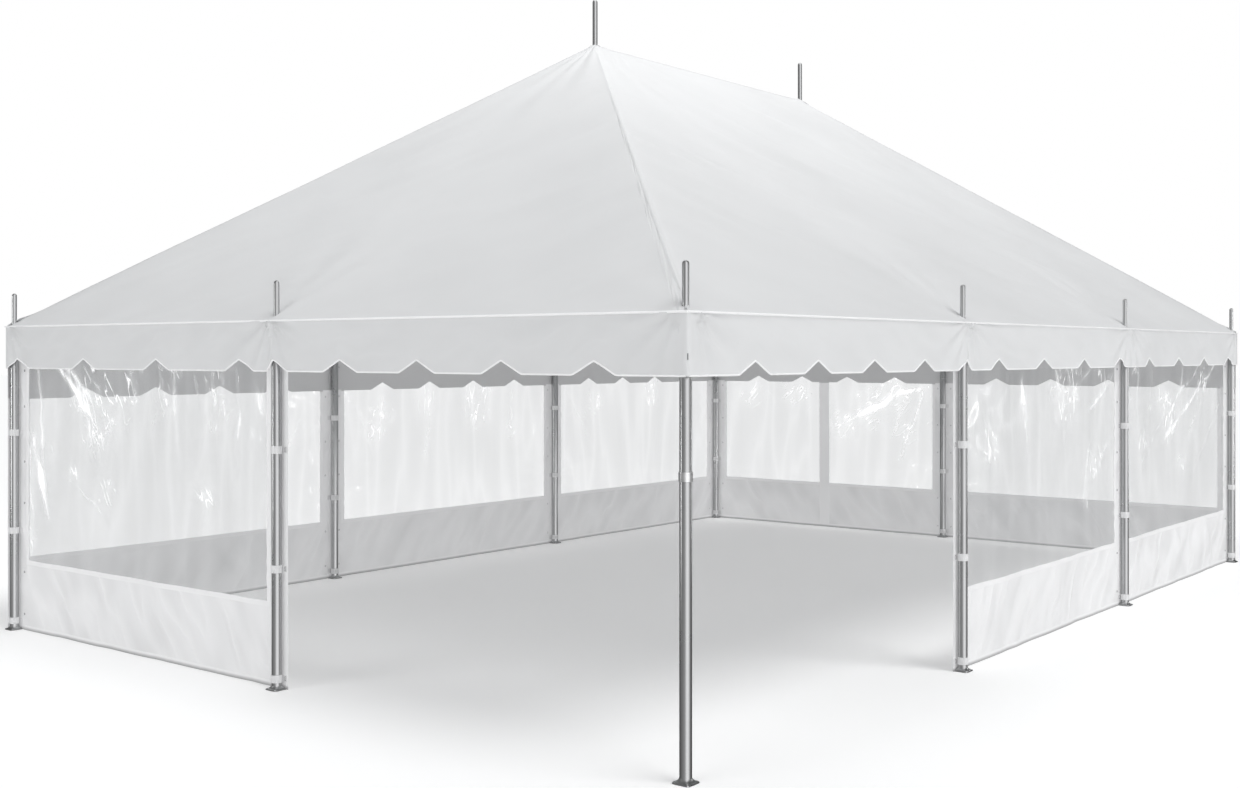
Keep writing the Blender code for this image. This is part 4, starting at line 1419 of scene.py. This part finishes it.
walls = [wall_facts(label) for label in WALL_LABELS]
for wall in walls:
    label, (start, end), (left, right, low, high) = wall["label"], wall["ends"], wall["window"]
    columns = with_corners(joined_steps((start, left, right, end), WALL_STEP), wall["notches"])
    rows = joined_steps((wall["bottom"], low, high, wall["top"]), WALL_STEP)
    panel = wall_grid(wall, columns, rows, keep=lambda u, v: outside_window(wall, u, v))
    cloth = sheets_mesh("wall_" + label, [panel], CLOTH_THICKNESS)

    over_hem = wall["bottom"] + HEM_WIDTH
    tape_ends = (left - WELD_WIDTH, right + WELD_WIDTH)
    strips = [
        wall_strip(wall, tape_ends, (low - WELD_WIDTH, low + WELD_LAP), WELD_STEP),
        wall_strip(wall, tape_ends, (high - WELD_LAP, high + WELD_WIDTH), WELD_STEP),
        wall_strip(wall, (left - WELD_WIDTH, left + WELD_LAP), (low, high), WELD_STEP),
        wall_strip(wall, (right - WELD_LAP, right + WELD_WIDTH), (low, high), WELD_STEP),
        wall_strip(wall, (start, end), (wall["bottom"], over_hem), HEM_STEP),
        wall_strip(wall, (start, start + HEM_WIDTH), (over_hem, wall["top"]), HEM_STEP),
        wall_strip(wall, (end - HEM_WIDTH, end), (over_hem, wall["top"]), HEM_STEP),
    ]
    if label == "right_2":
        middle = (left + right) / 2
        strips.append(wall_strip(wall, (middle - UPRIGHT_HALF, middle + UPRIGHT_HALF),
                                 (over_hem, high + 0.05), 0.022, UPRIGHT_INWARD))
    welds = sheets_mesh("wall_bands_" + label, strips, BAND_THICKNESS)

    for mesh, finish in ((cloth, WALL_CLOTH), (welds, WELD_CLOTH)):
        mesh.materials.append(finish)
        # The second finish is the darker border copy, a painted shade on the faces above the window at the
        # back and right
        mesh.materials.append(SHADED_BORDER_CLOTH)
        for face in mesh.polygons if wall["notches"] else ():
            face.material_index = int(face.center.z > high - 0.010)
    wall["cloth"] = add_piece(f"wall_{label}_cloth", cloth, WALL_CLOTH, "wall_cloth", "wall_" + label)
    wall["bands"] = add_piece(f"wall_{label}_welds", welds, WELD_CLOTH, "wall_cloth")
print("Walls:", len(walls))

# %% [markdown]
# ## Clear windows
#
# The film is stiff, so it keeps sharp creases from folding and from being pulled at its corners.
# Each crease is a line with a start and an end in shares of the window, taken from how the real
# film creases under each clamp and notch. The line's height falls off sharply to its sides, which
# is what makes it flash. Crushed patches are round areas with ragged edges. How creased and how
# crushed the film is, and how its streaks lean, is stored on the mesh for the finish.

# %% Creases of each window
FILM_STEP = 0.0145
FILM_LAP = 0.006
FULL_CREASE = 0.0095

# Each crease: start and end as shares along and up, then its height in millimetres
FILM_CREASES = {
    "left": [
        (0.985, 0.66, 0.885, 0.16, 11), (0.96, 0.98, 0.92, 0.30, 9), (0.99, 0.62, 0.965, 0.10, 8),
        (0.90, 0.99, 0.66, 0.64, 11), (0.84, 0.99, 0.63, 0.72, 9), (0.76, 0.98, 0.60, 0.70, 8),
        (0.79, 0.42, 0.60, 0.22, 7), (0.55, 0.98, 0.50, 0.76, 8), (0.41, 0.97, 0.395, 0.66, 7),
        (0.355, 0.99, 0.345, 0.50, 9), (0.27, 0.97, 0.25, 0.72, 6), (0.20, 0.97, 0.20, 0.60, 6),
        (0.12, 0.98, 0.10, 0.45, 6), (0.33, 0.40, 0.18, 0.37, 6), (0.98, 0.16, 0.955, 0.02, 9),
        (0.88, 0.12, 0.86, 0.02, 8),
    ],
    "front_1": [
        (0.52, 0.95, 0.66, 0.72, 10), (0.60, 0.97, 0.76, 0.70, 9), (0.99, 0.92, 0.74, 0.66, 9),
        (0.86, 0.98, 0.70, 0.80, 8), (0.335, 0.92, 0.37, 0.48, 8), (0.137, 0.76, 0.13, 0.42, 8),
        (0.80, 0.60, 0.74, 0.22, 7), (0.24, 0.95, 0.26, 0.74, 7), (0.97, 0.60, 0.84, 0.34, 8),
        (0.99, 0.40, 0.93, 0.20, 6), (0.46, 0.60, 0.44, 0.30, 5),
    ],
    "front_2": [
        (0.92, 0.97, 0.30, 0.45, 10), (0.72, 0.96, 0.36, 0.62, 9), (0.42, 0.75, 0.10, 0.32, 7),
        (0.96, 0.72, 0.60, 0.22, 7), (0.12, 0.97, 0.10, 0.45, 7), (0.25, 0.95, 0.22, 0.50, 6),
        (0.55, 0.97, 0.50, 0.70, 7),
    ],
    "right_2": [
        (0.04, 0.99, 0.46, 0.55, 10), (0.06, 0.96, 0.34, 0.70, 9), (0.03, 0.97, 0.16, 0.20, 9),
        (0.10, 0.90, 0.20, 0.34, 7), (0.44, 0.50, 0.50, 0.40, 5), (0.80, 0.98, 0.70, 0.60, 6),
        (0.24, 0.97, 0.42, 0.84, 7), (0.62, 0.97, 0.56, 0.76, 6),
    ],
    "right_1": [
        (0.96, 0.98, 0.80, 0.35, 7), (0.60, 0.99, 0.52, 0.55, 6), (0.30, 0.98, 0.34, 0.60, 6),
        (0.05, 0.95, 0.16, 0.25, 6),
    ],
    "back_1": [
        (0.17, 0.99, 0.18, 0.50, 6), (0.40, 0.99, 0.38, 0.62, 6), (0.62, 0.99, 0.60, 0.40, 7),
        (0.95, 0.97, 0.84, 0.40, 6),
    ],
    "back_2": [
        (0.17, 0.99, 0.16, 0.52, 7), (0.39, 0.99, 0.38, 0.30, 8), (0.61, 0.99, 0.60, 0.66, 6),
        (0.83, 0.99, 0.78, 0.45, 7), (0.05, 0.95, 0.14, 0.40, 6), (0.97, 0.93, 0.93, 0.50, 5),
    ],
    "back_3": [
        (0.17, 0.99, 0.22, 0.55, 6), (0.60, 0.99, 0.57, 0.55, 6), (0.83, 0.99, 0.86, 0.55, 6),
        (0.04, 0.96, 0.22, 0.30, 6),
    ],
}
# Each crushed patch: place as shares along and up, and its radius in metres
FILM_PATCHES = {
    "left": [(0.66, 0.80, 0.30), (0.55, 0.90, 0.20), (0.40, 0.84, 0.14), (0.34, 0.92, 0.10),
             (0.88, 0.52, 0.07), (0.63, 0.38, 0.11), (0.78, 0.44, 0.06), (0.97, 0.12, 0.08),
             (0.22, 0.40, 0.09), (0.20, 0.90, 0.09)],
    "front_1": [(0.64, 0.80, 0.26), (0.90, 0.88, 0.16), (0.14, 0.58, 0.12), (0.86, 0.46, 0.16),
                (0.36, 0.74, 0.09), (0.76, 0.26, 0.07)],
    "front_2": [(0.42, 0.66, 0.20), (0.74, 0.86, 0.18), (0.16, 0.52, 0.12), (0.10, 0.90, 0.10),
                (0.55, 0.36, 0.08)],
    "right_2": [(0.20, 0.86, 0.20), (0.30, 0.74, 0.20), (0.40, 0.62, 0.15), (0.62, 0.88, 0.18),
                (0.12, 0.52, 0.12), (0.85, 0.86, 0.12)],
    "right_1": [(0.55, 0.90, 0.16), (0.20, 0.88, 0.12)],
    "back_1": [(0.60, 0.86, 0.14), (0.20, 0.78, 0.14)],
    "back_2": [(0.62, 0.86, 0.18), (0.82, 0.62, 0.12), (0.16, 0.72, 0.14), (0.39, 0.90, 0.12)],
    "back_3": [(0.58, 0.84, 0.14), (0.20, 0.80, 0.12)],
}
# How far the fine streaks of each window lean from upright, in radians
FILM_LEAN = {"left": 0.45, "front_1": 0.10, "front_2": 0.50, "right_2": -0.85, "right_1": -0.20,
             "back_1": 0.10, "back_2": 0.12, "back_3": -0.12}


def window_place(wall, u, v):
    """Shares of a window's width and height as distances along and up."""
    left, right, low, high = wall["window"]
    return left + u * (right - left), low + v * (high - low)


def crease_height(wall, along, z):
    """Height of the window's creases over the flat film."""
    height = np.zeros_like(along)
    for index, (u0, v0, u1, v1, size) in enumerate(FILM_CREASES[wall["label"]]):
        (x0, z0), (x1, z1) = window_place(wall, u0, v0), window_place(wall, u1, v1)
        length = math.hypot(x1 - x0, z1 - z0)
        run_x, run_z = (x1 - x0) / length, (z1 - z0) / length
        run = (along - x0) * run_x + (z - z0) * run_z
        aside = (along - x0) * run_z - (z - z0) * run_x
        seed = wall["seed"] + 11 * index
        aside = aside + 0.030 * hills(run * 3.0, 0 * run, seed) + 0.010 * hills(run * 9.0, 0 * run, seed + 3)
        ends = ease(run, -0.05, 0.12) * ease(length - run, -0.05, 0.25)
        width = (0.013 + 0.016 * np.clip(run / length, 0.0, 1.0)) * (size / 7) ** 1.5
        broken = 0.75 + 0.35 * hills(run * 7.0, 0 * run + 0.5, seed + 7)
        height += 0.001 * size * broken * ends * np.exp(-np.abs(aside) / width)
    return height


def patch_strength(wall, along, z):
    """How crushed the film is, from 0 to 1."""
    strength = np.zeros_like(along)
    for u, v, radius in FILM_PATCHES[wall["label"]]:
        x0, z0 = window_place(wall, u, v)
        ragged = 1.4 * radius * (1 + 0.5 * hills(along * 6.0, z * 6.0, wall["seed"] + 2))
        strength = np.maximum(strength, np.exp(-((along - x0) ** 2 + (z - z0) ** 2) / ragged ** 2))
    return ease(strength, 0.10, 1.0)


def film_swing(wall, along, z):
    """How far the film stands out from the cloth's own swing, still at its welded edges."""
    left, right, low, high = wall["window"]
    broad = 0.004 * hills(along * 5.0 + z, z * 1.2, wall["seed"] + 1)
    crushed = 0.0035 * hills(along * 19.0, z * 17.0, wall["seed"] + 4) * patch_strength(wall, along, z)
    held = ease(along - left, 0.0, 0.05) * ease(right - along, 0.0, 0.05)
    held = held * ease(z - low, 0.0, 0.08) * ease(high - z, 0.0, 0.04)
    return (broad + crushed + crease_height(wall, along, z)) * held


# %% Film of the windows
for wall in walls:
    label, (left, right, low, high) = wall["label"], wall["window"]
    columns = with_corners(even_steps(left - FILM_LAP, right + FILM_LAP, FILM_STEP), wall["notches"])
    rows = even_steps(low - FILM_LAP, high + FILM_LAP, FILM_STEP)
    sheet = wall_grid(wall, columns, rows, lambda u, v: film_swing(wall, u, v))
    film = sheets_mesh("film_" + label, [sheet])
    u, v = sheet[2].T
    shares = {
        "crease": np.clip(crease_height(wall, u, v) / FULL_CREASE, 0.0, 1.0),
        "crushed": patch_strength(wall, u, v),
        "lean": np.full(len(u), FILM_LEAN[label]),
    }
    for name, values in shares.items():
        stored = film.attributes.new(name, "FLOAT", "POINT")
        stored.data.foreach_set("value", values.astype(np.float32))
    wall["film"] = add_piece(f"window_{label}_film", film, OLDER_FILM if wall["notches"] else CLEAR_FILM,
                             "clear_film", "window_" + label)
print("Windows:", len(walls))

# %% Eyelets in the wall borders
EYELET_HEIGHTS = (0.115, 0.42, 0.92, 1.22, 1.62, 1.88)
EYELET_FROM_LEG = 0.078
EYELET_LIFT = 0.0008

eyelet_places = []
for wall in walls:
    way = (0.0, wall["outward"], 0.0) if wall["axis"] == 0 else (wall["outward"], 0.0, 0.0)
    for leg, inward in zip(wall["legs"], (1, -1)):
        along = np.array(leg + inward * EYELET_FROM_LEG)
        for height in EYELET_HEIGHTS:
            eyelet_places.append((wall_point(wall, along, np.array(height), EYELET_LIFT), way))
grow(eyelet_tree, facing_points("eyelet_places", eyelet_places), "wall_eyelets", SMALL_STEEL, "eyelet",
     Radius=0.0062, Roll=0.0019)
print("Eyelets:", len(eyelet_places))

# %% Sheets
for wall in walls:
    left, right, low, high = wall["window"]
    width, height = wall["ends"][1] - wall["ends"][0], wall["top"] - wall["bottom"]
    side = wall["label"].split("_")[0]
print("Sheets:", 1 + len(NOTCHES) + 2 * len(walls))

# %% Update the scene
bpy.context.view_layer.update()
